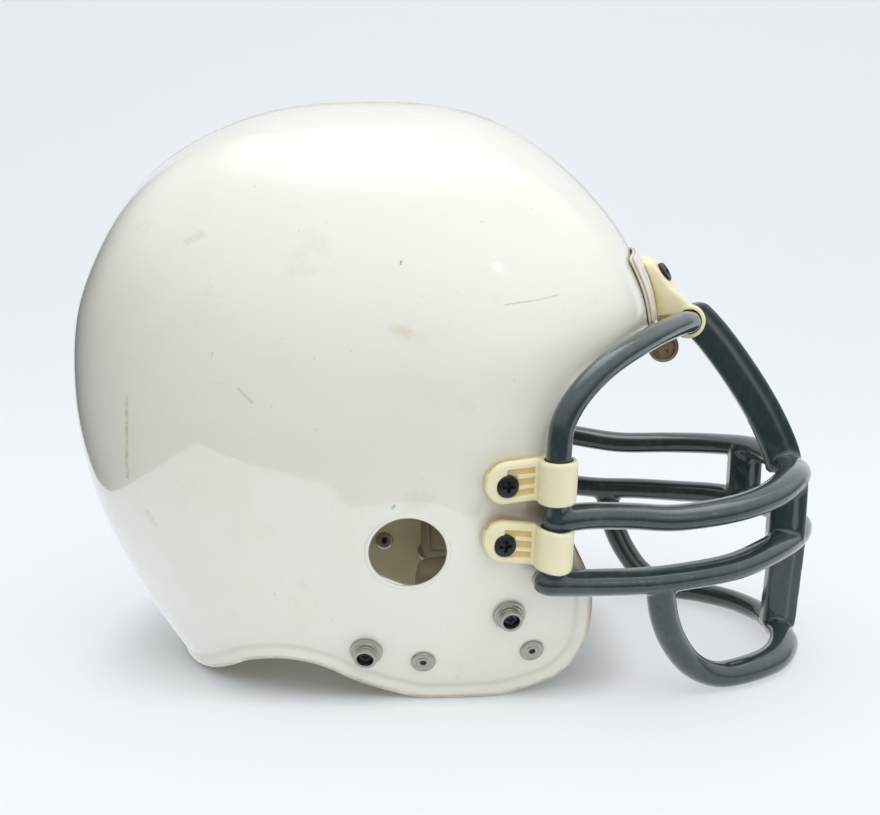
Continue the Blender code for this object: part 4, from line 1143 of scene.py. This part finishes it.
def guard_shapes():
    """Points and faces of each bar and strut before they are fused."""
    s = sizes()
    routes = guard_routes()
    across = (0.0, 1.0, 0.0)
    brow, jaw = routes["brow"], routes["jaw"]
    section = round_section(len(brow), s.post_radius)
    grids = [swept_points(brow, section, (-0.7, 0.0, 0.7))]
    for route in (routes["upper"], routes["lower"]):
        rows = len(route)
        gone = np.linalg.norm(route - route[0], axis=1)
        gone = np.minimum(gone, np.linalg.norm(route - route[-1], axis=1))
        nose = quarter((gone + 0.0008) / 0.0052)
        depth = s.lens_depth * ends_in(rows, 0.62, 0.11) * nose
        section = lens_section(depth, s.lens_height * ends_in(rows, 0.80, 0.06) * nose)
        grids.append(swept_points(route, section))
    middle = ends_in(len(jaw), 0.0, 0.35)
    section = lens_section(
        s.loop_radius * (1.04 + 0.12 * middle), s.loop_radius * (1.02 - 0.14 * middle)
    )
    grids.append(swept_points(jaw, section, (0.35, 0.0, 0.94)))
    half, thin = s.strut_depth / 2, s.strut_thickness / 2
    cross = crossbar_at()
    high, low, bottom = (routes[name][len(routes[name]) // 2] for name in ("upper", "lower", "jaw"))
    nose = np.array(NOSE_SHARES) * (high[0] - cross[0], cross[2] - high[2]) + (cross[0], cross[2])
    nose = smooth_route(nose, 16)
    nose = np.stack((nose[:, 0], np.zeros(len(nose)), nose[:, 1]), axis=1)
    section = plate_section(len(nose), half, thin)
    steps = np.linalg.norm(nose - nose[0], axis=1)
    section[..., 0] *= quarter((steps + 0.0006) / 0.0075)[:, None]
    grids.append(swept_points(nose, section, across))
    chin = np.linspace(low - (0, 0, 0.001), bottom + (0, 0, 0.002), 30)
    grids.append(swept_points(chin, plate_section(30, half * 0.98, thin), across))
    for side in SIDES:
        top, foot = (
            route[np.argmin(np.abs(route[:, 1] - side * STRUT_SPREAD))]
            for route in (routes["upper"], routes["lower"])
        )
        line = np.linspace(top, foot, 30)
        line[:, 1] = side * STRUT_SPREAD
        grids.append(swept_points(line, plate_section(30, half, thin), across))
    return [swept(grid) for grid in grids]


def guard_piece():
    """The face guard as one moulding: its bars and struts, fused and eased."""
    guard = fused("moulded_guard", guard_shapes(), "guard", sizes().guard_voxel, 4)
    tidy(guard.data, 1e-7, 0)
    parts = ("brow_bar", "upper_bar", "lower_bar", "jaw_loop")
    struts = ("nose_strut", "chin_strut", "left_strut", "right_strut")
    fit(guard, "guard", "guard", *(f"guard_{part}" for part in parts + struts))


# Loop straps


def arc(middle, radius, start, stop, count):
    """Points of an arc between two angles in degrees."""
    turn = np.radians(np.linspace(start, stop, count))
    return np.asarray(middle) + radius * np.stack((np.cos(turn), np.sin(turn)), axis=1)


def strap_outline(reach, tip, high, fillet):
    """A loop strap seen from its side: a slab, a fillet up to the loop, the loop, and a flat foot
    that climbs back to the loop. Returned with the end of its top run."""
    outer = loop_reach()
    rise = high + fillet - outer
    start = reach - math.sqrt((outer + fillet) ** 2 - rise**2)
    lean = math.degrees(math.atan2(rise, start - reach)) % 360
    top = np.stack((np.linspace(tip, start, 110), np.full(110, high)), axis=1)
    bend = arc((start, high + fillet), fillet, -90, lean - 180, 8)[1:]
    loop = arc((reach, outer), outer, lean, -112, 56)
    foot = np.stack((np.linspace(reach - 0.0052, tip, 60), np.full(60, 0.0002)), axis=1)
    turn = smooth_route(np.vstack((loop[-2:], foot[:2])), 6)[6:13]
    corner = rounded(np.vstack((foot[-2], (tip, high), top[13])), 0.0019, 7)[1:-1]
    return np.vstack((corner, top[14:], bend, loop[1:-1], turn, foot[1:-1])), start


def strap_piece(name, place, node, splay, low):
    """A side loop strap: its side view carried across its width, narrowed to a round end in plan,
    with rounded edges, a pocket with two ribs behind the screw, and a bore for the bar. Its slab
    slides aside by splay for each unit of distance from the loop; the screw sits low by low."""
    s = sizes()
    half, high = s.strap_width / 2, s.strap_thickness
    outline, start = strap_outline(STRAP_REACH, -STRAP_BACK - half, high, 0.0008)
    edge, shallow, count, inner = 0.0021, 0.0010, 8, 76
    ease = np.linspace(0, math.pi / 2, count + 1)[1:]
    over = edge * np.sin(ease)
    flat = np.linspace(-1, 1, inner) * (half - edge)
    across = np.concatenate((-(half - edge) - over[::-1], flat, half - edge + over))
    inset = np.concatenate((1 - np.cos(ease[::-1]), np.zeros(inner), 1 - np.cos(ease)))[:, None]
    out_x, out_z = outline.T
    slab = fade(start - 0.001, start + 0.005, out_x) * np.clip(out_z / high, 0, 1)
    run_x, run_z = unit(np.roll(outline, -1, axis=0) - np.roll(outline, 1, axis=0)).T
    x = out_x + inset * shallow * run_z
    z = out_z - inset * shallow * run_x - inset * (edge - shallow) * slab
    past = np.minimum(0.0, x + STRAP_BACK) / half
    y = across[:, None] * np.maximum(np.sqrt(np.maximum(0.0, 1 - past**2)), 0.04)
    on_top = (out_x < start) * (out_z > high - 0.0001)
    well = fade(s.screw_radius - 0.0006, s.screw_radius - 0.0001, np.hypot(x + STRAP_BACK, y - low))
    first, last = -STRAP_BACK - 0.0010, start - 0.0003
    bed = smoothstep(first, first + 0.0015, x) * fade(last, last + 0.0005, x)
    bed = bed * fade(0.0054, 0.0060, np.abs(y))
    ribs = np.maximum(*(fade(0.0007, 0.0011, np.abs(y - spot)) for spot in (-0.0023, 0.0023)))
    ribs = ribs * smoothstep(0.0035 - STRAP_BACK, 0.0045 - STRAP_BACK, x)
    recess = np.maximum(well * 0.0013, bed * (1 - 0.85 * ribs) * POCKET) * on_top
    y = y + splay * np.maximum(0.0, STRAP_REACH - x)
    rows, columns = y.shape
    grid = np.stack((x, y, z - recess), axis=-1)
    faces = grid_faces(rows, columns, False, True).tolist()
    faces.append(tuple(range(columns)))
    faces.append(tuple(range((rows - 1) * columns, rows * columns)))
    # Painted shade low on the slab's sides next to the shell, given to the material as its recess
    # value
    foot_shade = 0.75 * fade(0.0002, 0.0038, z) * fade(start - 0.001, start + 0.002, x)
    piece = new_piece(
        name, placed(grid.reshape(-1, 3), place), faces, "strap", 1e-7, 50,
        {"recess": np.maximum(recess / 0.0014, foot_shade)},
    )
    bore_strap(piece, place, STRAP_REACH, s.strap_width)
    fit(piece, "strap", "guard", node)


def brow_loop_piece(name, place, side, node):
    """A brow loop strap: superellipse sections along a wedge that thickens towards the loop, their
    tops leaning aside, and a round-edged disc round the bar, fused, eased and bored."""
    s = sizes()
    half, outer, screw = s.brow_strap_width / 2, loop_reach(), 0.0022
    tip, root = screw - half, BROW_REACH - 0.0052
    x = tip + (BROW_REACH - 0.0010 - tip) * np.linspace(0, 1, 90) ** 1.6
    narrow = np.maximum(0.06, 1 - np.abs(np.minimum(0.0, x - screw) / half) ** 4) ** 0.25
    sag = 0.0052 * (0.40 + 0.60 * (np.maximum(x, 0) / 0.0175) ** 2) * fade(0.0190, root, x)
    low = 0.0002 - sag
    high = 0.0042 + 0.297 * (x - tip) - 0.0012 * fade(tip, tip + 0.0030, x)
    across, up = (np.sign(wave) * np.abs(wave) ** 0.42 for wave in circle(72).T)
    y = half * narrow[:, None] * across
    z = ((high + low) / 2)[:, None] + ((high - low) / 2)[:, None] * up
    z = z - 0.32 * fade(0.008, 0.018, x)[:, None] * y * side * (up + 1) / 2
    slab = np.stack((np.broadcast_to(x[:, None], y.shape), y, z), axis=-1)
    disc = rounded(((0.0005, -half), (outer, -half), (outer, half), (0.0005, half)), 0.0020, 5)
    disc = turned_points(disc, 96)
    disc = np.stack((BROW_REACH + disc[..., 0], disc[..., 2], outer + disc[..., 1]), axis=-1)
    piece = fused(name, (swept(slab), swept(disc)), "strap", 0.00035, 8)
    mesh = piece.data
    spots = np.empty(len(mesh.vertices) * 3, np.float32)
    mesh.vertices.foreach_get("co", spots)
    x, _, z = spots.reshape(-1, 3).T
    # Painted shade low on the strap's sides next to the plates, given to the material as its recess
    # value
    deep = fade(-0.0045, 0.0035, z) * smoothstep(-0.004, 0.010, x) * fade(0.019, 0.023, x)
    set_values(mesh, "recess", deep * 0.75)
    mesh.transform(place)
    bore_strap(piece, place, BROW_REACH, s.brow_strap_width)
    fit(piece, "strap", "helmet", node)


def bore_strap(piece, place, reach, width):
    """Bores a strap's loop for the bar."""
    radius = sizes().post_radius + BORE_ROOM
    axis = spun(shifted(place, reach, 0, loop_reach()), 90, "X")
    cut_cones(piece, 64, (radius, radius, width + 0.004, axis))


def phillips(depth, reach_out, width):
    """A function that sinks a tapered cross into the middle of a turned head."""

    def bend(grid):
        x, y = grid[..., 0], grid[..., 1]
        up = grid[..., 2] > 0.0006
        cut = np.zeros(x.shape)
        for a, b in ((x, y), (y, x)):
            arm = fade(width * 0.32, width * 0.58, np.abs(a))
            arm = arm * fade(reach_out * 0.55, reach_out, np.abs(b))
            cut = np.maximum(cut, arm)
        grid = grid.copy()
        grid[..., 2] -= depth * cut * up * (np.hypot(x, y) < reach_out * 1.1)
        return grid

    return bend


def screw_piece(name, place, radius, height, shank, depth, body, node):
    """A pan-head screw: a low dome, a rounded rim and a shank, with a cross sunk in it."""
    inner = np.linspace(0, 0.90 * radius, 44)
    dome = np.stack((inner, height - 0.22 * height * (inner / radius) ** 2), axis=1)
    rim = np.array(((radius * 0.985, height * 0.62), (radius, height * 0.40), (radius, 0.0)))
    rim = rounded(np.vstack((dome[-1], rim)), radius * 0.12)[1:]
    stem = np.array(((shank, 0.0), (shank, -depth), (0.0, -depth)))
    profile = np.vstack((dome, rim, stem))
    bend = phillips(height * 0.75, radius * 0.62, radius * 0.30)
    piece = turned(name, profile, place, "screw", 144, False, bend, 50.0)
    fit(piece, "screw", body, node)


# Turned fasteners

# Radius and height of each profile's corners, in millimetres. Profiles that start off the axis
# are closed.
FASTENERS = {
    "cup": (
        (3.6, 5.4), (5.0, 5.4), (5.1, 4.2), (4.4, 4.0), (4.4, 3.4), (5.0, 3.2), (5.1, 2.6),
        (4.6, 2.4), (4.6, 2.0), (5.6, 1.8), (5.8, 1.2), (7.0, 1.0), (7.1, 0.1), (1.8, 0.1),
        (1.8, 1.8), (3.6, 1.8),
    ),
    "nut": ((1.8, 0.0), (5.0, 0.0), (5.0, -1.6), (4.0, -2.2), (1.8, -2.2)),
    "rivet": (
        (0.0, -3.0), (1.3, -3.0), (1.3, 0.6), (1.7, 1.0), (2.6, 1.0), (3.1, 0.5), (4.2, 0.5),
        (4.6, 0.8), (5.0, 0.8), (5.4, 0.3), (5.3, -0.3), (2.1, -0.3), (2.1, -6.0), (0.0, -6.0),
    ),
    "core": ((0.0, 0.4), (1.25, 0.2), (1.25, -2.8), (0.0, -2.8)),
    "socket": ((2.4, 0.0), (5.4, 0.0), (5.4, -1.1), (4.7, -1.6), (4.7, -3.4), (2.4, -3.4)),
    "plug": (
        (0.0, 0.7), (3.4, 0.7), (4.0, 0.2), (4.0, -0.4), (2.9, -0.4), (2.9, -1.7), (0.0, -1.7),
    ),
    "tnut": (
        (2.7, 3.0), (3.4, 3.0), (3.4, 0.4), (4.4, 0.0), (7.0, 0.0), (7.0, -1.2), (2.7, -1.2),
    ),
}


def fastener(name, kind, place, *nodes, finish="metal", round_off=0.0003, columns=96):
    """A turned piece from its table, with rounded corners."""
    profile = np.array(FASTENERS[kind]) / 1000
    closed = bool(profile[0, 0])
    if round_off:
        profile = rounded(profile, round_off, 3, closed)
    piece = turned(name, profile, place, finish, columns, closed)
    fit(piece, finish, "helmet", *nodes)


def side_fasteners(side):
    """Studs, their screws and nuts, rivets, snap sockets and the hole plug of one side."""
    word = SIDES[side]
    inner = -(sizes().shell_wall + INNER_GAP)
    for end, shares in STUD_SHARES.items():
        spot, end = seat(shares, side), f"{end}_{word}"
        fastener(f"snap_cup_{end}", "cup", lifted(spot, SEAT), f"chin_stud_{end}")
        head = lifted(spot, SEAT + 0.0018 + GAP)
        screw_piece(
            f"cup_screw_{end}", head, 0.0031, 0.0016, 0.0015, 0.0110, "helmet", f"stud_screw_{end}"
        )
        fastener(f"cup_nut_{end}", "nut", lifted(spot, inner), f"stud_nut_{end}")
    for end, shares in RIVET_SHARES.items():
        spot, end = seat(shares, side), f"{end}_{word}"
        head = lifted(spot, SEAT)
        fastener(f"washer_rivet_{end}", "rivet", head, f"jaw_rivet_{end}", round_off=0.0002)
        fastener(f"rivet_core_{end}", "core", head, finish="screw", round_off=0, columns=48)
        fastener(f"snap_socket_{end}", "socket", lifted(spot, inner), f"jaw_socket_{end}")
    spot = lifted(seat(PLUG_SHARES, side), SEAT)
    fastener(f"plug_{word}", "plug", spot, f"hole_plug_{word}", finish="shell", columns=72)


# Brow


def brow_plates():
    """Two thin sheets over the forehead behind the brow straps: patches of the shell's surface
    with rounded corners, the outer one with a slot near each side."""
    s = sizes()
    low, high = (math.asin((part - s.centre_z) / RADIUS_SHARES[1]) for part in (0.625, 0.745))
    t, u = np.meshgrid(np.linspace(-1, 1, 60), np.linspace(-1, 1, 140), indexing="ij")
    draw = 1 - 0.10 * (1 - quarter((1 - np.abs(t)) / 0.16))
    edge = np.minimum(1, np.minimum(1 - np.abs(t), 1 - np.abs(u)) / 0.03)
    slots = fade(0.018, 0.030, np.abs(np.abs(u) - 0.80)) * fade(0.55, 0.62, np.abs(t))
    for name, lift, thick, grow, slot, nodes in (
        ("brow_sheet_inner", 0.0004, 0.0008, 1.0, np.zeros(t.shape), ("brow_plate",)),
        ("brow_sheet_outer", 0.0014, 0.0009, 0.965, slots, ()),
    ):
        angle = (low + high) / 2 + (high - low) / 2 * t * grow
        tilt = math.radians(19) * u * draw * grow
        direction = toward(angle, np.cos(tilt), np.sin(tilt))
        surface, normal = shell_toward(direction), shell_normals(direction)
        height = lift + thick * (0.35 + 0.65 * np.sqrt(edge)) - 0.0012 * slot
        points, faces = two_sided(surface + height[..., None] * normal, surface + lift * normal)
        value = np.concatenate((np.maximum(1 - edge, slot).ravel(), (1 - edge).ravel()))
        piece = new_piece(name, points, faces, "plate", 1e-7, 40, {"edge": value})
        fit(piece, "plate", "helmet", *nodes)


def brow_roll_piece():
    """The rolled lower edge of the front pad: a sleeve along the brow, open at its ends, round a
    darker core that stops short of them."""
    s = sizes()
    outer, middle, inner, core = 0.0070, 0.0063, 0.0057, 0.0056
    edge = EDGE_SHARES[-1, 1]
    y = np.linspace(-0.0258, 0.0258, 60)
    angle = math.asin((edge - s.centre_z) / RADIUS_SHARES[0])
    x = shell_toward(brow_direction(np.full(60, angle), y))[:, 0] + 0.0085 - s.shell_wall
    path = np.stack((x, y, np.full(60, edge * s.shell_height - outer - 0.0008)), axis=1)
    outside, inside = (swept_points(path, round_section(60, r, 64)) for r in (outer, inner))
    lip = swept_points(path[[0, -1]], round_section(2, middle, 64))
    lip = lip + np.array(((0, -0.0006, 0), (0, 0.0006, 0)))[:, None]
    rows = np.vstack((outside, lip[1:], inside[::-1], lip[:1]))
    faces = grid_faces(len(rows), 64, True, True)
    filling = swept(swept_points(path[2:-2], round_section(56, core, 48)))
    for name, points, faces, value, nodes in (
        ("brow_roll_sleeve", rows.reshape(-1, 3), faces, 0.0, ("brow_roll",)),
        ("brow_roll_core", *filling, 1.0, ()),
    ):
        values = {"core": np.full(len(points), value)}
        piece = new_piece(name, points, faces, "roll", 1e-7, 40, values)
        fit(piece, "roll", "helmet", *nodes)


# Liner


def pad_piece(name, body, node, low, high, half, side, lift, thickness):
    """A pillow on the shell's inside: a patch of the surface with rounded corners, crowned
    towards the head, with a welted seam round its middle height and a drawn line inside it. Over
    the middle, low and high are angles of the side view and half is the angle aside; on a side,
    low and high are shares of the length and half holds two shares of the height."""
    count = 84
    ease = np.sin(np.linspace(-math.pi / 2, math.pi / 2, count))
    t, u = np.meshgrid(ease, ease, indexing="ij")
    a = t * np.sqrt(1 - 0.16 * u**4)
    b = u * np.sqrt(1 - 0.16 * t**4)
    if side is None:
        angle = (low + high) / 2 + (high - low) / 2 * a
        direction = toward(angle, np.cos(half * b), np.sin(half * b))
    else:
        x = ahead((low + high) / 2 + (high - low) / 2 * a)
        z = (half[0] + half[1]) / 2 + (half[1] - half[0]) / 2 * b
        direction = side_direction(x, z * sizes().shell_height, side)
    surface, normal = shell_toward(direction), shell_normals(direction)
    rim = np.maximum(0.0, (1 - t**8) * (1 - u**8)) ** 0.5
    crown = np.maximum(0.0, (1 - t**2) * (1 - u**2)) ** 0.45
    inset = fade(0.0, 0.035, np.abs(np.maximum(np.abs(t), np.abs(u)) - 0.80))
    top = lift + thickness * (0.42 + 0.20 * rim + 0.38 * crown - 0.06 * inset * rim)
    bottom = lift + thickness * 0.42 * (1 - rim) + 0.0002
    points, faces = two_sided(*(surface - depth[..., None] * normal for depth in (top, bottom)))
    total = count * count
    seam = np.maximum(inset * rim, fade(0.0, 0.3, rim))
    attributes = {"seam": np.concatenate((seam.ravel(), np.zeros(total)))}
    piece = new_piece(name, points, faces, "pad", 1e-6, 0, attributes)
    fit(piece, "pad", body, node)


# Stage


def lamp(name, spot, size, power):
    """A square lamp that faces the helmet's middle and isn't mirrored in it."""
    light = bpy.data.lights.new(name, "AREA")
    light.shape = "RECTANGLE"
    light.size = light.size_y = size
    light.energy = power
    item = linked(name, light)
    item.location = spot
    aim = Vector((0.0, 0.0, 0.12)) - Vector(spot)
    item.rotation_euler = aim.to_track_quat("-Z", "Y").to_euler()
    item.visible_glossy = False


def room():
    """The light of the room. Mirrors see it bright overhead with a panel and a small flash there,
    and dimmer behind the camera and to its left; matt surfaces get an even light."""
    world = bpy.data.worlds.new("studio")
    bpy.context.scene.world = world
    world.use_nodes = True
    finish = Finish.__new__(Finish)
    finish.tree = world.node_tree
    place = finish.node("ShaderNodeTexCoord", {}, [], "Generated")
    parts = finish.node("ShaderNodeSeparateXYZ", {}, [place]).socket.node.outputs
    x, y, z = (Signal(finish, part) for part in parts)
    low = z.between(-0.10, 0.25)
    overhead = z.between(0.05, 0.66)
    right = x.between(-0.80, 0.50)
    panel = (z * 0.955 + y * 0.29 + x * 0.05).between(0.78, 1.0) * 2.2
    flash = (x * 0.613 - y * 0.543 + z * 0.573).between(0.9990, 0.9998) * 12.0
    mirrored = 0.07 + low * (0.13 + right * 0.32) + overhead * 0.66 + panel + flash
    mirrored = mirrored + (0.0 - x).between(0.3, 0.9) * z.between(0.1, 0.5) * 0.22
    front = (0.0 - y).between(-0.4, 0.7)
    even = 0.30 + right * 0.30 + front * 0.14 + overhead * 0.38
    paths = finish.node("ShaderNodeLightPath", {}, []).socket.node.outputs
    ray, seen = Signal(finish, paths["Is Glossy Ray"]), Signal(finish, paths["Is Camera Ray"])
    value = mirrored * ray + even * (1.0 - ray) * (1.0 - seen) + seen * 0.86
    back = world.node_tree.nodes["Background"]
    back.inputs["Color"].default_value = (0.96, 0.98, 1.0, 1.0)
    finish.join(back.inputs["Strength"], value)


def paper_finish():
    """Matt paper that glows a little to the camera and to mirrors. To the camera the glow dims
    towards the back wall, a painted falloff of light, and is left out in an oval beneath the
    helmet, a painted shadow."""
    backdrop = tuple(colours().backdrop)
    finish = Finish("paper", 0.9)
    nodes, links = finish.tree.nodes, finish.tree.links
    finish.set(Base_Color=backdrop, Specular_IOR_Level=0.0)
    glow, blend = nodes.new("ShaderNodeEmission"), nodes.new("ShaderNodeMixShader")
    # The camera's glow dims towards the back wall: a painted falloff of light
    far = finish.axis(1).between(-0.2, 1.5)
    far_wall_shade = tuple(0.90 * part for part in backdrop)
    finish.join(glow.inputs["Color"], finish.mix(far, backdrop, far_wall_shade))
    rays = nodes.new("ShaderNodeLightPath").outputs
    seen, glossy, through = (
        Signal(finish, rays[f"Is {kind} Ray"]) for kind in ("Camera", "Glossy", "Transmission")
    )
    x, y = finish.axis(0) + 0.045, finish.axis(1)
    # No glow to the camera in an oval beneath the helmet: a painted shadow that deepens the shade
    # there
    painted_shadow_mask = 1.0 - ((x / 0.125) ** 4.0 + (y / 0.080) ** 4.0).between(0.4, 1.5)
    shown = (seen * (1.0 - painted_shadow_mask) * 0.58).most(glossy.most(through) * 0.80)
    finish.join(blend.inputs[0], shown)
    links.new(finish.shader.outputs[0], blend.inputs[1])
    links.new(glow.outputs[0], blend.inputs[2])
    links.new(blend.outputs[0], nodes["Material Output"].inputs["Surface"])
    return finish.material


def paper():
    """The sweep: a floor that widens with the view and bends up into a backdrop by a quarter
    circle."""
    radius, near, end = 0.9, -0.265, math.pi / 2
    bend = np.linspace(0, end, 24)[1:]
    back = (np.linspace(near, radius, 12), radius + radius * np.sin(bend), (1.8, 1.8))
    rise = (np.zeros(12), radius - radius * np.cos(bend), (2.0, 3.4))
    back, rise = np.concatenate(back), np.concatenate(rise)
    left = -np.maximum(0.325, 0.46 * (back + 0.60))
    x = np.stack((left, np.zeros(len(back)), 0.9 - 1.2 * left), axis=1)
    y, z = (np.broadcast_to(values[:, None], x.shape) for values in (back, rise - 0.0002))
    points = np.stack((x, y, z), axis=-1).reshape(-1, 3)
    mesh = bpy.data.meshes.new("paper_sweep")
    mesh.from_pydata(points, [], grid_faces(len(back), 3).tolist())
    mesh.shade_smooth()
    mesh.materials.append(paper_finish())
    linked("paper_sweep", mesh)


def stage():
    """A pale sweep of paper, the room's light, soft lamps and the camera."""
    paper()
    room()
    lamp("key", (0.25, -0.90, 1.50), 1.3, 5.2)
    lamp("top", (0.05, 0.10, 1.7), 1.6, 5.6)
    sensor, focal_pixels, pitch = 36, 1215, -9.6
    camera = bpy.data.cameras.new("camera")
    camera.lens = sensor * focal_pixels / PICTURE_WIDTH
    camera.sensor_width = sensor
    camera.clip_start = 0.01
    item = linked("camera", camera)
    item.location = (-0.003 + moved["along"], -0.585, 0.217)
    item.rotation_euler = (math.radians(90 + pitch), 0, 0)
    bpy.context.scene.camera = item
    bpy.context.scene.view_settings.view_transform = "Standard"


# Operators


class HELMET_OT_shell(bpy.types.Operator):
    """Makes the moulded shell and the lips of its ear holes"""

    bl_idname = "helmet.shell"
    bl_label = "Shell"

    def execute(self, context):
        shell_piece()
        for side in SIDES:
            ear_lip(side)
        return {"FINISHED"}


class HELMET_OT_guard(bpy.types.Operator):
    """Makes the face guard as one moulding"""

    bl_idname = "helmet.guard"
    bl_label = "Face guard"

    def execute(self, context):
        guard_piece()
        return {"FINISHED"}


class HELMET_OT_straps(bpy.types.Operator):
    """Makes the side and brow loop straps with their screws and nuts"""

    bl_idname = "helmet.straps"
    bl_label = "Loop straps"

    def execute(self, context):
        s = sizes()
        found, brow, ground = strap_frames()
        inner = -(s.shell_wall + INNER_GAP)
        head_height = shank = 0.0024
        for side, word in SIDES.items():
            for level, step, lean in (("upper", 0.5, 0.055), ("lower", -0.5, 0.145)):
                place = shifted(found[side], 0, -side * step * s.strap_pitch, 0)
                end = f"{level}_{word}"
                splay, low = side * step * 2 * lean, side * 0.0011
                strap_piece(f"loop_{end}", place, f"side_strap_{end}", splay, low)
                across = splay * (STRAP_REACH + STRAP_BACK) + low
                head = shifted(place, -STRAP_BACK, across, s.strap_thickness - POCKET)
                screw_piece(
                    f"loop_screw_{end}", head, s.screw_radius, head_height, shank, 0.0034, "guard",
                    f"side_screw_{end}",
                )
                behind = lifted(seat_at(head.translation.x, head.translation.z, side), inner)
                fastener(f"loop_tnut_{end}", "tnut", behind, f"side_tnut_{end}")
            place = shifted(brow, 0, side * BROW_ASIDE, 0)
            brow_loop_piece(f"brow_loop_{word}", place, side, f"brow_strap_{word}")
            head = spun(shifted(place, 0.0024, side * 0.0012, 0.0059), -10, "Y")
            screw_piece(
                f"brow_loop_screw_{word}", spun(head, -20 * side, "X"), s.screw_radius, head_height,
                shank, 0.0070, "helmet", f"brow_screw_{word}",
            )
            behind = shifted(ground, 0, side * BROW_ASIDE, inner - 0.0016)
            fastener(f"brow_loop_tnut_{word}", "tnut", behind, f"brow_tnut_{word}")
        return {"FINISHED"}


class HELMET_OT_fasteners(bpy.types.Operator):
    """Makes the studs, rivets, sockets and plugs of both sides"""

    bl_idname = "helmet.fasteners"
    bl_label = "Side fasteners"

    def execute(self, context):
        for side in SIDES:
            side_fasteners(side)
        return {"FINISHED"}


class HELMET_OT_brow(bpy.types.Operator):
    """Makes the sheets on the forehead and the roll under the brow"""

    bl_idname = "helmet.brow"
    bl_label = "Brow sheets and roll"

    def execute(self, context):
        brow_plates()
        brow_roll_piece()
        return {"FINISHED"}


class HELMET_OT_liner(bpy.types.Operator):
    """Makes the seven liner pads"""

    bl_idname = "helmet.liner"
    bl_label = "Liner pads"

    def execute(self, context):
        s = sizes()
        thick = s.pad_thickness
        lift = s.shell_wall + INNER_GAP
        past_nuts = lift + 0.0012 + 0.0016 + 2 * GAP
        for name, low, high, half, height in (
            ("crown", 62, 120, 33, lift), ("front", 14, 52, 34, past_nuts),
            ("rear", 136, 196, 36, lift - 2 * GAP),
        ):
            spread = (math.radians(value) for value in (low, high, half))
            pad_piece(f"{name}_pillow", "helmet", f"{name}_pad", *spread, None, height, thick)
        for side, word in SIDES.items():
            for name, body, low, high, half, height, deep in (
                ("side", "helmet", -0.370, 0.055, (0.400, 0.700), lift, thick),
                ("jaw", f"jaw_pad_{word}", -0.050, 0.165, (0.055, 0.235), lift + 0.0037, 0.019),
            ):
                pad_piece(
                    f"{name}_pillow_{word}", body, f"{name}_pad_{word}", low, high, half, side,
                    height, deep,
                )
        return {"FINISHED"}


class HELMET_OT_stage(bpy.types.Operator):
    """Makes the paper sweep, the lamps and the camera"""

    bl_idname = "helmet.stage"
    bl_label = "Stage"

    def execute(self, context):
        stage()
        return {"FINISHED"}


OPERATORS = (
    HELMET_OT_stage, HELMET_OT_shell, HELMET_OT_guard, HELMET_OT_straps, HELMET_OT_fasteners,
    HELMET_OT_brow, HELMET_OT_liner,
)


class HELMET_PT_panel(bpy.types.Panel):
    """Lists the helmet's operators"""

    bl_idname = "HELMET_PT_panel"
    bl_label = "Football helmet"
    bl_space_type = "VIEW_3D"
    bl_region_type = "UI"
    bl_category = "Helmet"

    def draw(self, context):
        for operator in OPERATORS:
            self.layout.operator(operator.bl_idname)


CLASSES = (HelmetSizes, HelmetColours, *OPERATORS, HELMET_PT_panel)


def register():
    for item in CLASSES:
        bpy.utils.register_class(item)
    bpy.types.Scene.helmet_sizes = bpy.props.PointerProperty(type=HelmetSizes)
    bpy.types.Scene.helmet_colours = bpy.props.PointerProperty(type=HelmetColours)


def unregister():
    del bpy.types.Scene.helmet_colours
    del bpy.types.Scene.helmet_sizes
    for item in reversed(CLASSES):
        bpy.utils.unregister_class(item)


def main():
    register()
    moved["along"] = HINGE[0] - crossbar_at()[0]
    for operator in OPERATORS:
        group, name = operator.bl_idname.split(".")
        getattr(getattr(bpy.ops, group), name)()


if __name__ == "__main__":
    main()
